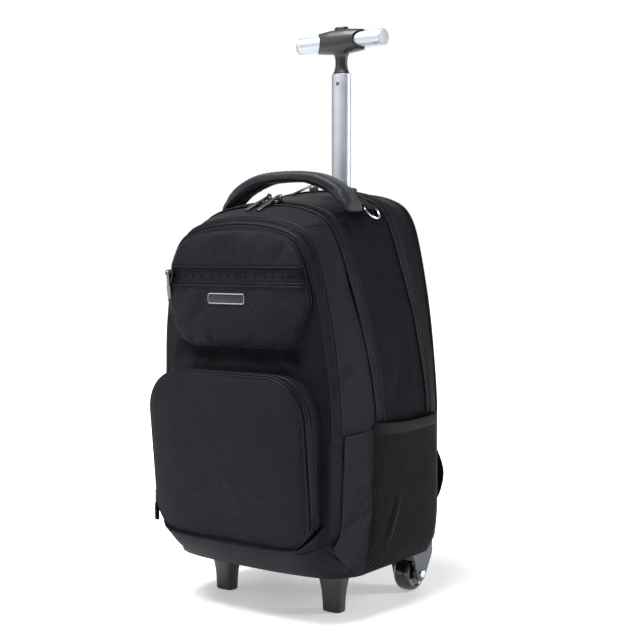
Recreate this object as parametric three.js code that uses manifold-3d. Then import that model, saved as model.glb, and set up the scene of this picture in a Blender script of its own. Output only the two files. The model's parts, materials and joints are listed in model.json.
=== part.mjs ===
// A wheeled backpack: a soft nylon bag on two front feet and two rear wheels,
// with a telescopic T-handle, shoulder straps and a padded grab handle.
// Millimetres, X to the bag's left and right, Y to the back, Z up. The floor is Z = 0.
// Depths are measured from the line through the two front feet.

import * as THREE from 'three';
import { mergeVertices } from 'three/addons/utils/BufferGeometryUtils.js';
import Module from 'manifold-3d';

const wasm = await Module();
wasm.setup();

// Clearances
const gap = 0.3;
const runningGap = 0.4;
const wheelClearance = 2;

// The bag's body
const bodyHalfWidth = 144;
const bodyBottom = 57;
const bodyTop = 550;
const shoulderHeight = 254;
const cornerRadius = 26;
const wall = 2;
const frontDepth = -73;
const mainZipDepth = 15;
const rearDepth = 175;
const frontDome = 11;
const backPadThickness = 12;

// Zip bands that follow the body's arch
const bandThickness = 1.3;
const bandPiping = 1.2;
const frontBandWidth = 22;
const rearBandSetback = 38;
const rearBandDepth = rearDepth - rearBandSetback;
const rearBandWidth = 14;
const frontBandEnd = 225;

// Front pocket
const pocketHalfWidth = 125;
const pocketBottom = 97;
const pocketTop = 313;
const pocketDepthTop = 48;
const pocketDepthBottom = 27;
const pocketRadiusTop = 55;
const pocketRadiusBottom = 42;
const pocketWall = 2.5;
const pocketZipWidth = 15;
const pocketPipingHeight = 2.4;
const pocketZipSetback = 5;
const pocketZipEnd = 128;
const pocketPullHeight = 145;
const pocketRoot = 30;

// Padded panel above the front pocket, with its zip and its plate
const panelThickness = 7;
const panelZipHeight = 437;
const panelZipWidth = 11;
const panelZipThickness = 2;
const panelZipLength = 218;
const panelInset = 6;
const panelLow = 346;
const panelSideLow = 404;
const badgeWidth = 62;
const badgeHeight = 15;
const badgeThickness = 2;
const badgeX = -8;
const badgeZ = 407;

// Mesh pockets on the sides
const meshTop = 249;
const meshHemHeight = 13;
const meshFront = 10;
const meshRearSetback = 11;
const meshRear = rearDepth - meshRearSetback;
const meshBulge = 12;
const meshWall = 1.5;
const meshHemWall = 3;
const meshMouthGap = 3;
const meshRoot = 30;

// Grab handle and its tabs
const handleHalfSpan = 104;
const handleShare = 0.19;
const handleDepth = handleShare * rearBandDepth;
const handleFoot = 522;
const handleTop = 572;
const handleWidth = 32;
const handleThickness = 13;
const handleTabWidth = 26;
const handleTabLength = 46;
const handleTabThickness = 1.6;

// D-ring in its webbing tab
const ringWire = 3;
const ringInnerWidth = 25;
const ringReach = 19;
const ringX = 98;
const ringBehind = 40;
const ringDepth = handleDepth + ringBehind;
const ringDroop = 9;
const ringCorner = 3;
const ringTabWall = 1.8;
const ringTabLength = 20;

// Shoulder straps and their lower webbing
const strapWidth = 58;
const strapThickness = 11;
const strapSpacing = 62;
const strapEnd = 245;
const strapStandoff = 24;
const webbingWidth = 25;
const webbingThickness = 2;
const buckleLength = 28;
const buckleThickness = 7;
const buckleFrame = 5;
const buckleSlot = 10;

// Telescopic pole
const poleSetback = 17.6;
const poleWidth = 28.5;
const poleThickness = 19;
const poleWall = 1.4;
const poleLength = 440;
const sleeveWall = 1.6;
const sleeveFoot = 16;
const collarRim = 6;
const collarHeight = 6;
const collarReach = 20;
const lockPinDiameter = 6;
const lockPinDrop = 14;
const lockPinProud = 0.2;

// T-handle
const gripHeight = 761;
const gripLength = 140;
const gripDiameter = 23;
const gripWall = 2;
const hubLength = 80;
const hubHeight = 34;
const hubWidth = 31;
const hubScoopRadius = 14;
const hubScoopSetback = 2;
const neckWaist = 17.6;
const neckLength = 28;
const capThickness = 2;
const buttonLength = 22;
const buttonWidth = 12;
const buttonRise = 3.6;
const buttonBelow = 1.3;
const buttonTravel = 2.4;
const buttonEdge = 1.2;

// Front feet
const footSpacing = 91;
const footTopWidth = 41;
const footTopDepth = 32;
const footHeight = bodyBottom - gap;

// Wheels, their housings and axles
const wheelRadius = 25;
const wheelWidth = 24;
const wheelSpacing = 117;
const wheelSetback = 32;
const wheelDepth = rearDepth - wheelSetback;
const axleDiameter = 8;
const axleHeadDiameter = 11;
const axleHeadHeight = 3;
const cheekThickness = 4;
const cheekRoom = 4;
const hubBoss = cheekRoom - 1;
const treadDrop = 4.5;
const treadSide = 6.5;

// Zip sliders and their pulls
const sliderLength = 13;
const sliderWidth = 9;
const sliderHeight = 5;
const sliderRoot = 3;
const pullWidth = 7;
const pullThickness = 2.6;
const pullLength = 38;
const pullRoom = 2;
const panelPullInset = 8;

const cloth = { color: 0x1d1f23, roughness: 0.82, metalness: 0 };
const piping = { color: 0x141519, roughness: 0.7, metalness: 0 };
const netting = { color: 0x17181b, roughness: 0.9, metalness: 0 };
const steel = { color: 0xb9bec6, roughness: 0.34, metalness: 1 };
const gunmetal = { color: 0x6a6d72, roughness: 0.3, metalness: 1 };
const blackPlastic = { color: 0x1a1c20, roughness: 0.42, metalness: 0 };
const greyPlastic = { color: 0x4b505c, roughness: 0.5, metalness: 0 };
const tyreBlack = { color: 0x0d0e10, roughness: 0.25, metalness: 0 };

// Sides of round pieces, and how square the pole's oval is
const roundSides = 16;
const wellSides = 28;
const wheelSides = 20;
const gripSides = 20;
const buttonSides = 18;
const hubSides = 14;
const footSides = 12;
const poleSides = 16;
const poleRoundness = 0.8;
const cornerSteps = 3;

const bothSides = [['left', -1], ['right', 1]];
const alongX = new THREE.Vector3(1, 0, 0);
const alongY = new THREE.Vector3(0, 1, 0);
const alongZ = new THREE.Vector3(0, 0, 1);

const bag = new THREE.Group();

function addPiece(name, geometry, finish, group = bag) {
  const facets = geometry.index ? geometry.toNonIndexed() : geometry;
  facets.deleteAttribute('normal');
  facets.computeVertexNormals();
  const mesh = new THREE.Mesh(facets, new THREE.MeshStandardMaterial(finish));
  mesh.name = name;
  group.add(mesh);
  return mesh;
}

// Solids for cutting and joining

function toSolid(geometry) {
  const bare = geometry.clone();
  bare.deleteAttribute('normal');
  bare.deleteAttribute('uv');
  const merged = mergeVertices(bare, 1e-4);
  return new wasm.Manifold(new wasm.Mesh({
    numProp: 3,
    vertProperties: new Float32Array(merged.attributes.position.array),
    triVerts: new Uint32Array(merged.index.array),
  }));
}

function toGeometry(solid) {
  const mesh = solid.getMesh();
  const geometry = new THREE.BufferGeometry();
  geometry.setAttribute('position', new THREE.BufferAttribute(mesh.vertProperties, 3));
  geometry.setIndex(new THREE.BufferAttribute(mesh.triVerts, 1));
  return geometry;
}

// Joins rings of points, all of one count, into a closed body. The first and last ring are
// closed by fans, or joined to each other where the body is a hoop.
function loft(rings, hoop = false) {
  const count = rings[0].length;
  const points = rings.flat();
  const faces = [];
  const spans = hoop ? rings.length : rings.length - 1;
  for (let r = 0; r < spans; r++) {
    const near = r * count;
    const far = ((r + 1) % rings.length) * count;
    for (let i = 0; i < count; i++) {
      const next = (i + 1) % count;
      faces.push(near + i, near + next, far + next);
      faces.push(near + i, far + next, far + i);
    }
  }
  if (!hoop) {
    const fan = (start, flip) => {
      const middle = new THREE.Vector3();
      for (let i = 0; i < count; i++) middle.add(points[start + i]);
      points.push(middle.divideScalar(count));
      for (let i = 0; i < count; i++) {
        const pair = [start + i, start + (i + 1) % count];
        faces.push(...(flip ? pair : pair.reverse()), points.length - 1);
      }
    };
    fan(0, false);
    fan((rings.length - 1) * count, true);
  }
  const geometry = new THREE.BufferGeometry();
  const corners = points.flatMap((p) => [p.x, p.y, p.z]);
  geometry.setAttribute('position', new THREE.Float32BufferAttribute(corners, 3));
  geometry.setIndex(faces);
  return outward(geometry);
}

// Turns the faces of a closed body outward, by the sign of its volume.
function outward(geometry) {
  const p = geometry.attributes.position;
  const index = geometry.index.array;
  const [a, b, c] = [new THREE.Vector3(), new THREE.Vector3(), new THREE.Vector3()];
  let volume = 0;
  for (let i = 0; i < index.length; i += 3) {
    a.fromBufferAttribute(p, index[i]);
    b.fromBufferAttribute(p, index[i + 1]);
    c.fromBufferAttribute(p, index[i + 2]);
    volume += a.dot(b.cross(c));
  }
  if (volume < 0) {
    for (let i = 0; i < index.length; i += 3) {
      [index[i], index[i + 1]] = [index[i + 1], index[i]];
    }
  }
  return geometry;
}

function box(lowX, highX, lowY, highY, lowZ, highZ) {
  const geometry = new THREE.BoxGeometry(highX - lowX, highY - lowY, highZ - lowZ);
  geometry.translate((lowX + highX) / 2, (lowY + highY) / 2, (lowZ + highZ) / 2);
  return geometry;
}

// A flat outline of [x, y] points, drawn up by a height along Z.
function prism(outline, height) {
  const shape = new THREE.Shape(outline.map(([x, y]) => new THREE.Vector2(x, y)));
  return new THREE.ExtrudeGeometry(shape, { depth: height, bevelEnabled: false });
}

// An outline in X and Z, drawn along Y between two depths.
function frontPrism(outline, lowY, highY) {
  const geometry = prism(outline, highY - lowY);
  geometry.rotateX(Math.PI / 2);
  geometry.translate(0, highY, 0);
  return geometry;
}

// A round bar or disc along X or Y, between two positions on that axis.
function rod(axis, diameter, low, high, sides = roundSides) {
  const geometry = new THREE.CylinderGeometry(diameter / 2, diameter / 2, high - low, sides);
  const middle = (low + high) / 2;
  geometry.translate(0, middle, 0);
  if (axis === 'x') geometry.rotateZ(-Math.PI / 2);
  return geometry;
}

// The diameter of a many-sided bore that clears a round bar all the way round.
function boreFor(diameter, sides = roundSides) {
  return diameter / Math.cos(Math.PI / sides);
}

// A smooth curve through points given as [x, y, z].
function smooth(points) {
  return new THREE.CatmullRomCurve3(points.map(([x, y, z]) => new THREE.Vector3(x, y, z)));
}

function mix(a, b, t) {
  return a + (b - a) * t;
}

function ease(t) {
  const held = THREE.MathUtils.clamp(t, 0, 1);
  return held * held * (3 - 2 * held);
}

// A level ring of points: an ellipse, squarer where the roundness is under 1.
function ovalRing(width, depth, height, sides, roundness = 1) {
  const ring = [];
  for (let i = 0; i < sides; i++) {
    const angle = (i + 0.5) / sides * 2 * Math.PI;
    const [c, s] = [Math.cos(angle), Math.sin(angle)];
    ring.push(new THREE.Vector3(
      width / 2 * Math.sign(c) * Math.abs(c) ** roundness,
      depth / 2 * Math.sign(s) * Math.abs(s) ** roundness,
      height,
    ));
  }
  return ring;
}

// A strip of rectangular section along a path. Its width lies along one fixed direction.
function strip(path, width, thickness, across, steps, rounding = 0.3) {
  const flat = [[-0.5, -0.5], [-0.5, 0.5], [0.5, 0.5], [0.5, -0.5]];
  const section = rounding === 0 ? flat : [
    [-0.5, -0.5 + rounding], [-0.5, 0.5 - rounding], [-0.5 + rounding * thickness / width, 0.5],
    [0.5 - rounding * thickness / width, 0.5], [0.5, 0.5 - rounding], [0.5, -0.5 + rounding],
    [0.5 - rounding * thickness / width, -0.5], [-0.5 + rounding * thickness / width, -0.5],
  ];
  const rings = [];
  for (let i = 0; i <= steps; i++) {
    const middle = path.getPoint(i / steps);
    const along = path.getTangent(i / steps);
    const up = new THREE.Vector3().crossVectors(along, across).normalize();
    rings.push(section.map(([w, t]) => middle.clone()
      .addScaledVector(across, w * width)
      .addScaledVector(up, t * thickness)));
  }
  return loft(rings);
}

// The body's outline at each depth, from front to back. The depth is a share of the way from the
// front face to the rear; crown is how far the top lies ahead of the sides, as a share of the body's
// depth; width and height are shares of the body's; rise lifts the bottom, as a share of the corner radius.
const bodyDepth = rearDepth - frontDepth;
const bodyHeight = bodyTop - bodyBottom;
const bodyTable = [
  { depth: 0, crown: 0.045, width: 0.945, height: 0.897, rise: 1.5 },
  { depth: 0.045, crown: 0.05, width: 0.972, height: 0.91, rise: 0.7 },
  { depth: 0.09, crown: 0.055, width: 0.982, height: 0.921, rise: 0.25 },
  { depth: 0.15, crown: 0.08, width: 0.988, height: 0.932, rise: 0 },
  { depth: 0.355, crown: 0.19, width: 1.0, height: 0.951, rise: 0 },
  { depth: 0.444, crown: 0.18, width: 1.004, height: 0.962, rise: 0 },
  { depth: 0.66, crown: 0.19, width: 1.01, height: 0.981, rise: 0 },
  { depth: 0.847, crown: 0.2, width: 1.006, height: 0.996, rise: 0 },
  { depth: 0.91, crown: 0.13, width: 1.0, height: 1.0, rise: 0.3 },
  { depth: 1, crown: 0.05, width: 0.965, height: 0.994, rise: 1.3 },
];

// The arch above the shoulders: the share of the half width left at each share of the height.
const archTable = [
  { up: 0, width: 1 }, { up: 0.22, width: 0.972 }, { up: 0.44, width: 0.934 }, { up: 0.62, width: 0.883 },
  { up: 0.75, width: 0.834 }, { up: 0.84, width: 0.785 }, { up: 0.905, width: 0.715 },
  { up: 0.945, width: 0.62 }, { up: 0.975, width: 0.46 }, { up: 0.993, width: 0.25 }, { up: 1, width: 0 },
];

// The pole stands its setback ahead of the back's crown.
const poleDepth = rearDepth - bodyDepth * bodyTable.at(-1).crown - poleSetback;

function bodyRow(sideDepth) {
  const share = (sideDepth - frontDepth) / bodyDepth;
  let k = 0;
  while (k < bodyTable.length - 2 && share > bodyTable[k + 1].depth) k++;
  const [low, high] = [bodyTable[k], bodyTable[k + 1]];
  const t = (share - low.depth) / (high.depth - low.depth);
  const row = {};
  for (const name of Object.keys(low)) row[name] = mix(low[name], high[name], t);
  return row;
}

// Half of the outline in X and Z, from the middle of the bottom up to the crown,
// moved in by an inset.
function bodyHalfOutline(row, inset) {
  const halfWidth = bodyHalfWidth * row.width - inset;
  const low = bodyBottom + cornerRadius * row.rise + inset;
  const high = bodyBottom + bodyHeight * row.height - inset;
  const radius = Math.max(cornerRadius - inset, 1);
  const points = [[0, low]];
  for (let i = 0; i <= cornerSteps; i++) {
    const angle = i / cornerSteps * Math.PI / 2;
    points.push([
      halfWidth - radius + radius * Math.sin(angle),
      low + radius - radius * Math.cos(angle),
    ]);
  }
  points.push([halfWidth, mix(low + radius, shoulderHeight, 0.5)]);
  for (const { up, width } of archTable) {
    points.push([halfWidth * width, mix(shoulderHeight, high, up)]);
  }
  return points;
}

// The depth of a ring's point at a height: the crown leans forward above the shoulders.
function leanAt(sideDepth, row, height) {
  const top = bodyBottom + bodyHeight * row.height;
  return sideDepth - bodyDepth * row.crown * ease((height - shoulderHeight) / (top - shoulderHeight));
}

function bodyRing(sideDepth, inset, shift = 0) {
  const row = bodyRow(sideDepth);
  const half = bodyHalfOutline(row, inset);
  const whole = half.concat(half.slice(1, -1).reverse().map(([x, z]) => [-x, z]));
  return whole.map(([x, z]) => new THREE.Vector3(x, leanAt(sideDepth, row, z) + shift, z));
}

// Rings that close the ring of a depth towards its middle, with a dome in front.
const capShares = [0.25, 0.6, 0.88];
const flatShares = [0.55, 0.85];

function capRings(sideDepth, inset, shift, dome) {
  const row = bodyRow(sideDepth);
  const rim = bodyRing(sideDepth, inset);
  const heights = rim.map((p) => p.z);
  const middle = (Math.min(...heights) + Math.max(...heights)) / 2;
  return (dome ? capShares : flatShares).map((share) => rim.map((p) => {
    const z = middle + (p.z - middle) * share;
    const y = leanAt(sideDepth, row, z) + shift - dome * (1 - share * share);
    return new THREE.Vector3(p.x * share, y, z);
  }));
}

const frontHalfDepths = [0, 0.045, 0.09, 0.15, 0.25].map((s) => frontDepth + bodyDepth * s);
const mainHalfDepths = [0.444, 0.66, 0.847, 0.91, 0.955, 1].map((s) => frontDepth + bodyDepth * s);

// The whole front half as a filled form, grown by an amount. It cuts what lies on it.
function frontForm(grow) {
  return loft([
    ...capRings(frontDepth, -grow, -grow, frontDome),
    bodyRing(frontDepth, -grow, -grow * 0.7),
    ...frontHalfDepths.slice(1).map((d) => bodyRing(d, -grow)),
    bodyRing(mainZipDepth, -grow),
  ]);
}

function mainForm(grow) {
  return loft([
    bodyRing(mainZipDepth, -grow),
    ...mainHalfDepths.map((d) => bodyRing(d, -grow)),
  ]);
}

const frontSolid = (grow) => toSolid(frontForm(grow));
const mainSolid = (grow) => toSolid(mainForm(grow));
const bodySolid = (grow) => frontSolid(grow).add(mainSolid(grow));

// Front compartment: a cup of cloth with a domed front, open at the back.
function frontCompartment() {
  const rim = mainZipDepth - gap;
  return loft([
    ...capRings(frontDepth, 0, 0, frontDome),
    ...frontHalfDepths.map((d) => bodyRing(d, 0)),
    bodyRing(rim, 0),
    bodyRing(rim, wall),
    ...frontHalfDepths.slice(2).reverse().map((d) => bodyRing(d, wall)),
    bodyRing(frontDepth + wall, wall + 0.5),
    ...capRings(frontDepth, wall + 0.5, wall, frontDome).reverse(),
  ]);
}

// Main compartment: closed at the front by the wall between the two, open at the back,
// with a hole in its top for the pole's sleeve.
function mainCompartment() {
  const depths = mainHalfDepths;
  const cup = toSolid(loft([
    ...capRings(mainZipDepth, 0, 0, 0),
    bodyRing(mainZipDepth, 0),
    ...depths.map((d) => bodyRing(d, 0)),
    ...depths.slice().reverse().map((d) => bodyRing(d, wall)),
    bodyRing(mainZipDepth + wall, wall),
    ...capRings(mainZipDepth, wall, wall, 0).reverse(),
  ]));
  const room = 2 * (sleeveWall + runningGap + gap);
  const hole = oval(poleWidth + room, poleThickness + room, shoulderHeight, 2 * bodyTop);
  return toGeometry(cup.subtract(toSolid(hole)));
}

addPiece('front_compartment', frontCompartment(), cloth);
addPiece('main_compartment', mainCompartment(), cloth);

// Back panel: a pad that closes the main compartment, bulging to the wearer's back. Its rim is
// given from the edge inwards: an inset, and a share of the pad's thickness.
const padRim = [{ inset: -1, share: 0.45 }, { inset: 4, share: 0.85 }, { inset: 14, share: 1 }];
const padFlat = padRim[padRim.length - 1].inset;

function backForm(grow) {
  return loft([
    ...capRings(rearDepth, -grow, gap - grow, 0),
    bodyRing(rearDepth, -grow, gap - grow),
    ...padRim.map(({ inset, share }) => (
      bodyRing(rearDepth, inset - grow, gap + backPadThickness * share + grow))),
    ...capRings(rearDepth, padFlat - grow, gap + backPadThickness + grow, 0).reverse(),
  ]);
}
addPiece('back_panel', backForm(0), cloth);

// Where a straight line meets a form's surface, and the surface's normal there.
function surfaceOf(forms) {
  return forms.map((form) => {
    const mesh = new THREE.Mesh(form.toNonIndexed());
    mesh.geometry.computeVertexNormals();
    return mesh;
  });
}

function meetAlong(surface, from, direction) {
  const hit = new THREE.Raycaster(from, direction).intersectObjects(surface)[0];
  return { point: hit.point, normal: hit.face.normal.clone() };
}

const skin = surfaceOf([frontForm(0), mainForm(0)]);
const panelSkin = surfaceOf([frontForm(panelThickness + gap)]);
const padSkin = surfaceOf([backForm(0)]);
const frontOf = (surface, x, z) => meetAlong(surface, new THREE.Vector3(x, 4 * frontDepth, z), alongY);
const skinFromAbove = (x, y) => (
  meetAlong(skin, new THREE.Vector3(x, y, 2 * bodyTop), new THREE.Vector3(0, 0, -1)));
const padDepth = (x, z) => (
  meetAlong(padSkin, new THREE.Vector3(x, 2 * rearDepth, z), new THREE.Vector3(0, -1, 0)).point.y);

// A band around the arch, with raised piping along both edges. It is a hoop,
// cut off at the height where the zip ends.
function zipBand(fromDepth, width, endHeight) {
  const profile = [
    { along: 0, out: 0 }, { along: 0.06, out: bandThickness + bandPiping },
    { along: 0.24, out: bandThickness }, { along: 0.5, out: bandThickness },
    { along: 0.76, out: bandThickness }, { along: 0.94, out: bandThickness + bandPiping },
    { along: 1, out: 0 }, { along: 0.5, out: 0 },
  ];
  const rings = profile.map(({ along, out }) => bodyRing(fromDepth + width * along, -out - gap));
  const hoop = toSolid(loft(rings, true));
  const keep = toSolid(box(-2 * bodyHalfWidth, 2 * bodyHalfWidth, 2 * frontDepth, 2 * rearDepth,
    endHeight, 2 * bodyTop));
  return toGeometry(hoop.intersect(keep));
}

addPiece('front_zip', zipBand(frontDepth, frontBandWidth, frontBandEnd), piping);
addPiece('main_zip', zipBand(mainZipDepth + gap, frontBandWidth, meshTop + meshMouthGap), piping);
addPiece('rear_zip', zipBand(rearBandDepth, rearBandWidth, meshTop + meshMouthGap), piping);

// Front pocket

const pocketHeight = pocketTop - pocketBottom;

// Outline of the pocket in X and Z, moved in by an inset, with round corners.
function pocketOutline(inset) {
  const points = [];
  const corners = [
    { side: 1, radius: pocketRadiusTop, top: true, start: 0 },
    { side: -1, radius: pocketRadiusTop, top: true, start: 90 },
    { side: -1, radius: pocketRadiusBottom, top: false, start: 180 },
    { side: 1, radius: pocketRadiusBottom, top: false, start: 270 },
  ];
  const steps = 4;
  for (const { side, radius, top, start } of corners) {
    const middleX = side * (pocketHalfWidth - radius);
    const middleZ = top ? pocketTop - radius : pocketBottom + radius;
    for (let i = 0; i <= steps; i++) {
      const angle = THREE.MathUtils.degToRad(start + 90 * i / steps);
      points.push([
        middleX + (radius - inset) * Math.cos(angle),
        middleZ + (radius - inset) * Math.sin(angle),
      ]);
    }
  }
  return points;
}

// The pocket's front plane leans: the pocket is deeper at its top.
function pocketFront(height) {
  const share = (height - pocketBottom) / pocketHeight;
  return frontDepth - mix(pocketDepthBottom, pocketDepthTop, share);
}

function pocketRing(inset, back) {
  return pocketOutline(inset).map(([x, z]) => new THREE.Vector3(x, pocketFront(z) + back, z));
}

// The pocket's walls run on into the bag's front, where they are cut off.
function pocketRootRing(inset) {
  return pocketOutline(inset).map(([x, z]) => new THREE.Vector3(x, frontDepth + pocketRoot, z));
}

// The front face bulges a little and turns back over a round rim.
const pocketShape = [
  { inset: 40, back: -3.5 }, { inset: 12, back: -2 }, { inset: 4, back: 0 },
  { inset: 0.6, back: 3 }, { inset: 0, back: 6 },
];

function pocketForm(grow) {
  return toSolid(loft([
    ...pocketShape.map(({ inset, back }) => pocketRing(inset - grow, back - grow)),
    pocketRootRing(-grow),
  ]));
}

function frontPocket() {
  return toGeometry(pocketForm(0).subtract(pocketForm(-pocketWall)).subtract(frontSolid(gap)));
}

function pocketZip() {
  const profile = [
    { along: 0, out: 0 }, { along: 0.1, out: pocketPipingHeight },
    { along: 0.3, out: pocketPipingHeight / 2 }, { along: 0.72, out: pocketPipingHeight / 2 },
    { along: 0.9, out: pocketPipingHeight }, { along: 1, out: 0 },
  ];
  const hoop = toSolid(loft(profile.map(({ along, out }) => (
    pocketRing(-out - gap, pocketZipSetback + 1 + pocketZipWidth * along)
  )), true));
  const keep = toSolid(box(-2 * pocketHalfWidth, 2 * pocketHalfWidth, 4 * frontDepth, 0,
    pocketZipEnd, 2 * pocketTop));
  return toGeometry(hoop.intersect(keep).subtract(frontSolid(gap)));
}

addPiece('front_pocket', frontPocket(), cloth);
addPiece('front_pocket_zip', pocketZip(), piping);

// Padded panel above the pocket. Its lower edge is a wide rounded U, and its upper edge
// follows the arch of the front face.
function panelOutline() {
  const row = bodyRow(frontDepth);
  const arch = bodyHalfOutline(row, panelInset).filter(([, z]) => z > panelSideLow);
  const halfWidth = bodyHalfWidth * row.width - panelInset;
  const lower = [
    { x: 0.93, z: 1 }, { x: 0.8, z: 0.5 }, { x: 0.72, z: 0.2 }, { x: 0.6, z: 0.02 }, { x: 0.3, z: 0 },
  ].map(({ x, z }) => [halfWidth * x, mix(panelLow, panelSideLow, z)]);
  const right = lower.reverse().concat(arch);
  const left = right.filter(([x]) => x > 0).reverse().map(([x, z]) => [-x, z]);
  return right.concat(left);
}

function upperPanel() {
  const plate = toSolid(frontPrism(panelOutline(), 2 * frontDepth, frontDepth));
  return toGeometry(plate.intersect(frontSolid(panelThickness)).subtract(frontSolid(gap)));
}
addPiece('upper_panel', upperPanel(), cloth);

// A thin piece that lies on the padded panel, cut to an outline.
function onPanel(outline, thickness) {
  const plate = toSolid(frontPrism(outline, 2 * frontDepth, frontDepth));
  const low = panelThickness + gap;
  return toGeometry(plate.intersect(frontSolid(low + thickness)).subtract(frontSolid(low)));
}

function rectangle(middleX, middleZ, width, height, radius = 1, steps = 3) {
  const points = [];
  for (const [sx, sz, start] of [[1, 1, 0], [-1, 1, 90], [-1, -1, 180], [1, -1, 270]]) {
    for (let i = 0; i <= steps; i++) {
      const angle = THREE.MathUtils.degToRad(start + 90 * i / steps);
      points.push([
        middleX + sx * (width / 2 - radius) + radius * Math.cos(angle),
        middleZ + sz * (height / 2 - radius) + radius * Math.sin(angle),
      ]);
    }
  }
  return points;
}

const panelZipOutline = rectangle(0, panelZipHeight, panelZipLength, panelZipWidth, 4);
addPiece('upper_zip', onPanel(panelZipOutline, panelZipThickness), piping);

// The plate is flat and lies along the panel's slope, with its back cut to the panel.
function badge() {
  const seat = frontOf(panelSkin, badgeX, badgeZ);
  const up = new THREE.Vector3(0, seat.normal.z, -seat.normal.y).normalize();
  const out = new THREE.Vector3().crossVectors(alongX, up);
  const block = prism(rectangle(0, 0, badgeWidth, badgeHeight, 4), badgeThickness + panelThickness / 2);
  block.translate(0, 0, -panelThickness / 2);
  block.applyMatrix4(new THREE.Matrix4().makeBasis(alongX, up, out).setPosition(seat.point));
  return toGeometry(toSolid(block).subtract(frontSolid(panelThickness + gap)));
}
addPiece('badge_plate', badge(), blackPlastic);

// Mesh pockets: an open pouch on each side, with a hem around its mouth. Height is a share of the
// pouch's height, out a share of its bulge; ahead and behind move its edges, as shares of its length.
const meshTable = [
  { height: 0, out: 0.1, ahead: 0.15, behind: -0.12 },
  { height: 0.12, out: 0.62, ahead: 0.1, behind: 0.01 },
  { height: 0.35, out: 0.9, ahead: 0.04, behind: 0.04 },
  { height: 0.65, out: 0.95, ahead: 0.01, behind: 0.03 },
  { height: 1, out: 1, ahead: 0, behind: 0 },
];
const meshShape = [
  { along: 0, out: 0 }, { along: 0.06, out: 0.5 }, { along: 0.2, out: 0.85 }, { along: 0.45, out: 1 },
  { along: 0.7, out: 0.98 }, { along: 0.9, out: 0.72 }, { along: 1, out: 0.1 },
];

function pouchRing(row, low, high, inset, side) {
  const length = meshRear - meshFront;
  const from = meshFront - row.ahead * length + inset;
  const to = meshRear + row.behind * length - inset;
  const z = mix(low, high, row.height);
  const outside = meshShape.map(({ along, out }) => new THREE.Vector3(
    side * (bodyHalfWidth + meshBulge * row.out * out - inset + gap), mix(from, to, along), z,
  ));
  const back = new THREE.Vector3(side * (bodyHalfWidth - meshRoot), to, z);
  const front = new THREE.Vector3(side * (bodyHalfWidth - meshRoot), from, z);
  return [...outside, back, front];
}

const meshLow = bodyBottom + gap;

function pouchForm(side, inset) {
  return toSolid(loft(meshTable.map((row) => pouchRing(row, meshLow + inset, meshTop + inset, inset, side))));
}

function meshPouch(side) {
  return toGeometry(pouchForm(side, 0).subtract(pouchForm(side, meshWall)).subtract(bodySolid(gap)));
}

function meshHem(side) {
  const mouth = meshTable[meshTable.length - 1];
  const ring = (height, inset) => pouchRing({ ...mouth, height: 0 }, height, height, inset, side);
  const low = meshTop - meshHemHeight;
  const outer = toSolid(loft([ring(low, -meshHemWall), ring(meshTop, -meshHemWall)]));
  const inner = toSolid(loft([ring(low - 1, -gap), ring(meshTop + 1, -gap)]));
  return toGeometry(outer.subtract(inner).subtract(pouchForm(side, -gap)).subtract(bodySolid(gap)));
}

for (const [name, side] of bothSides) {
  addPiece(`mesh_pocket_${name}`, meshPouch(side), netting);
  addPiece(`mesh_hem_${name}`, meshHem(side), piping);
}

// Grab handle: a padded strip that arches over the top, sewn down at both ends.
function grabHandle() {
  const rise = handleTop - handleFoot;
  const path = new THREE.CatmullRomCurve3([
    { x: -1, z: 0 }, { x: -0.97, z: 0.32 }, { x: -0.78, z: 0.7 }, { x: -0.42, z: 0.95 }, { x: 0, z: 1 },
    { x: 0.42, z: 0.95 }, { x: 0.78, z: 0.7 }, { x: 0.97, z: 0.32 }, { x: 1, z: 0 },
  ].map(({ x, z }) => new THREE.Vector3(handleHalfSpan * x, handleDepth, handleFoot + rise * z)));
  const arch = toSolid(strip(path, handleWidth, handleThickness, alongY, 16));
  return toGeometry(arch.subtract(bodySolid(handleTabThickness + 2 * gap)));
}
addPiece('grab_handle', grabHandle(), cloth);

// Patches that hold the handle's ends on the bag's top.
for (const [name, side] of bothSides) {
  const low = side * (handleHalfSpan - 1) - handleTabWidth / 2;
  const patch = toSolid(box(low, low + handleTabWidth, handleDepth - handleTabLength / 2,
    handleDepth + handleTabLength / 2, shoulderHeight, 2 * bodyTop));
  const sheet = mainSolid(gap + handleTabThickness).subtract(bodySolid(gap));
  addPiece(`handle_tab_${name}`, toGeometry(patch.intersect(sheet)), piping);
}

// D-ring: a wire bent to a D, whose straight bar lies in the end of a webbing tab.
// It is drawn with its bar along Y and its bow towards +X, then tilted down the bag's shoulder.
function ringPath() {
  const half = (ringInnerWidth + ringWire) / 2;
  const points = [];
  for (const share of [1, 0, -1]) points.push([0, share * (half - ringCorner)]);
  const bowSteps = 10;
  for (let i = 0; i <= bowSteps; i++) {
    const angle = Math.PI * (i / bowSteps - 0.5);
    points.push([ringCorner + (ringReach - ringCorner) * Math.cos(angle) ** 0.8, half * Math.sin(angle)]);
  }
  return points.map(([x, y]) => new THREE.Vector3(x, y, 0));
}

// A round wire along a closed, level line of points.
function wireLoop(points, diameter, sides) {
  const rings = points.map((point, i) => {
    const before = points[(i + points.length - 1) % points.length];
    const after = points[(i + 1) % points.length];
    const along = new THREE.Vector3().subVectors(after, before).normalize();
    const out = new THREE.Vector3().crossVectors(along, alongZ);
    return Array.from({ length: sides }, (_, k) => {
      const angle = (k + 0.5) / sides * 2 * Math.PI;
      return point.clone()
        .addScaledVector(out, diameter / 2 * Math.cos(angle))
        .addScaledVector(alongZ, diameter / 2 * Math.sin(angle));
    });
  });
  return loft(rings, true);
}

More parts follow.
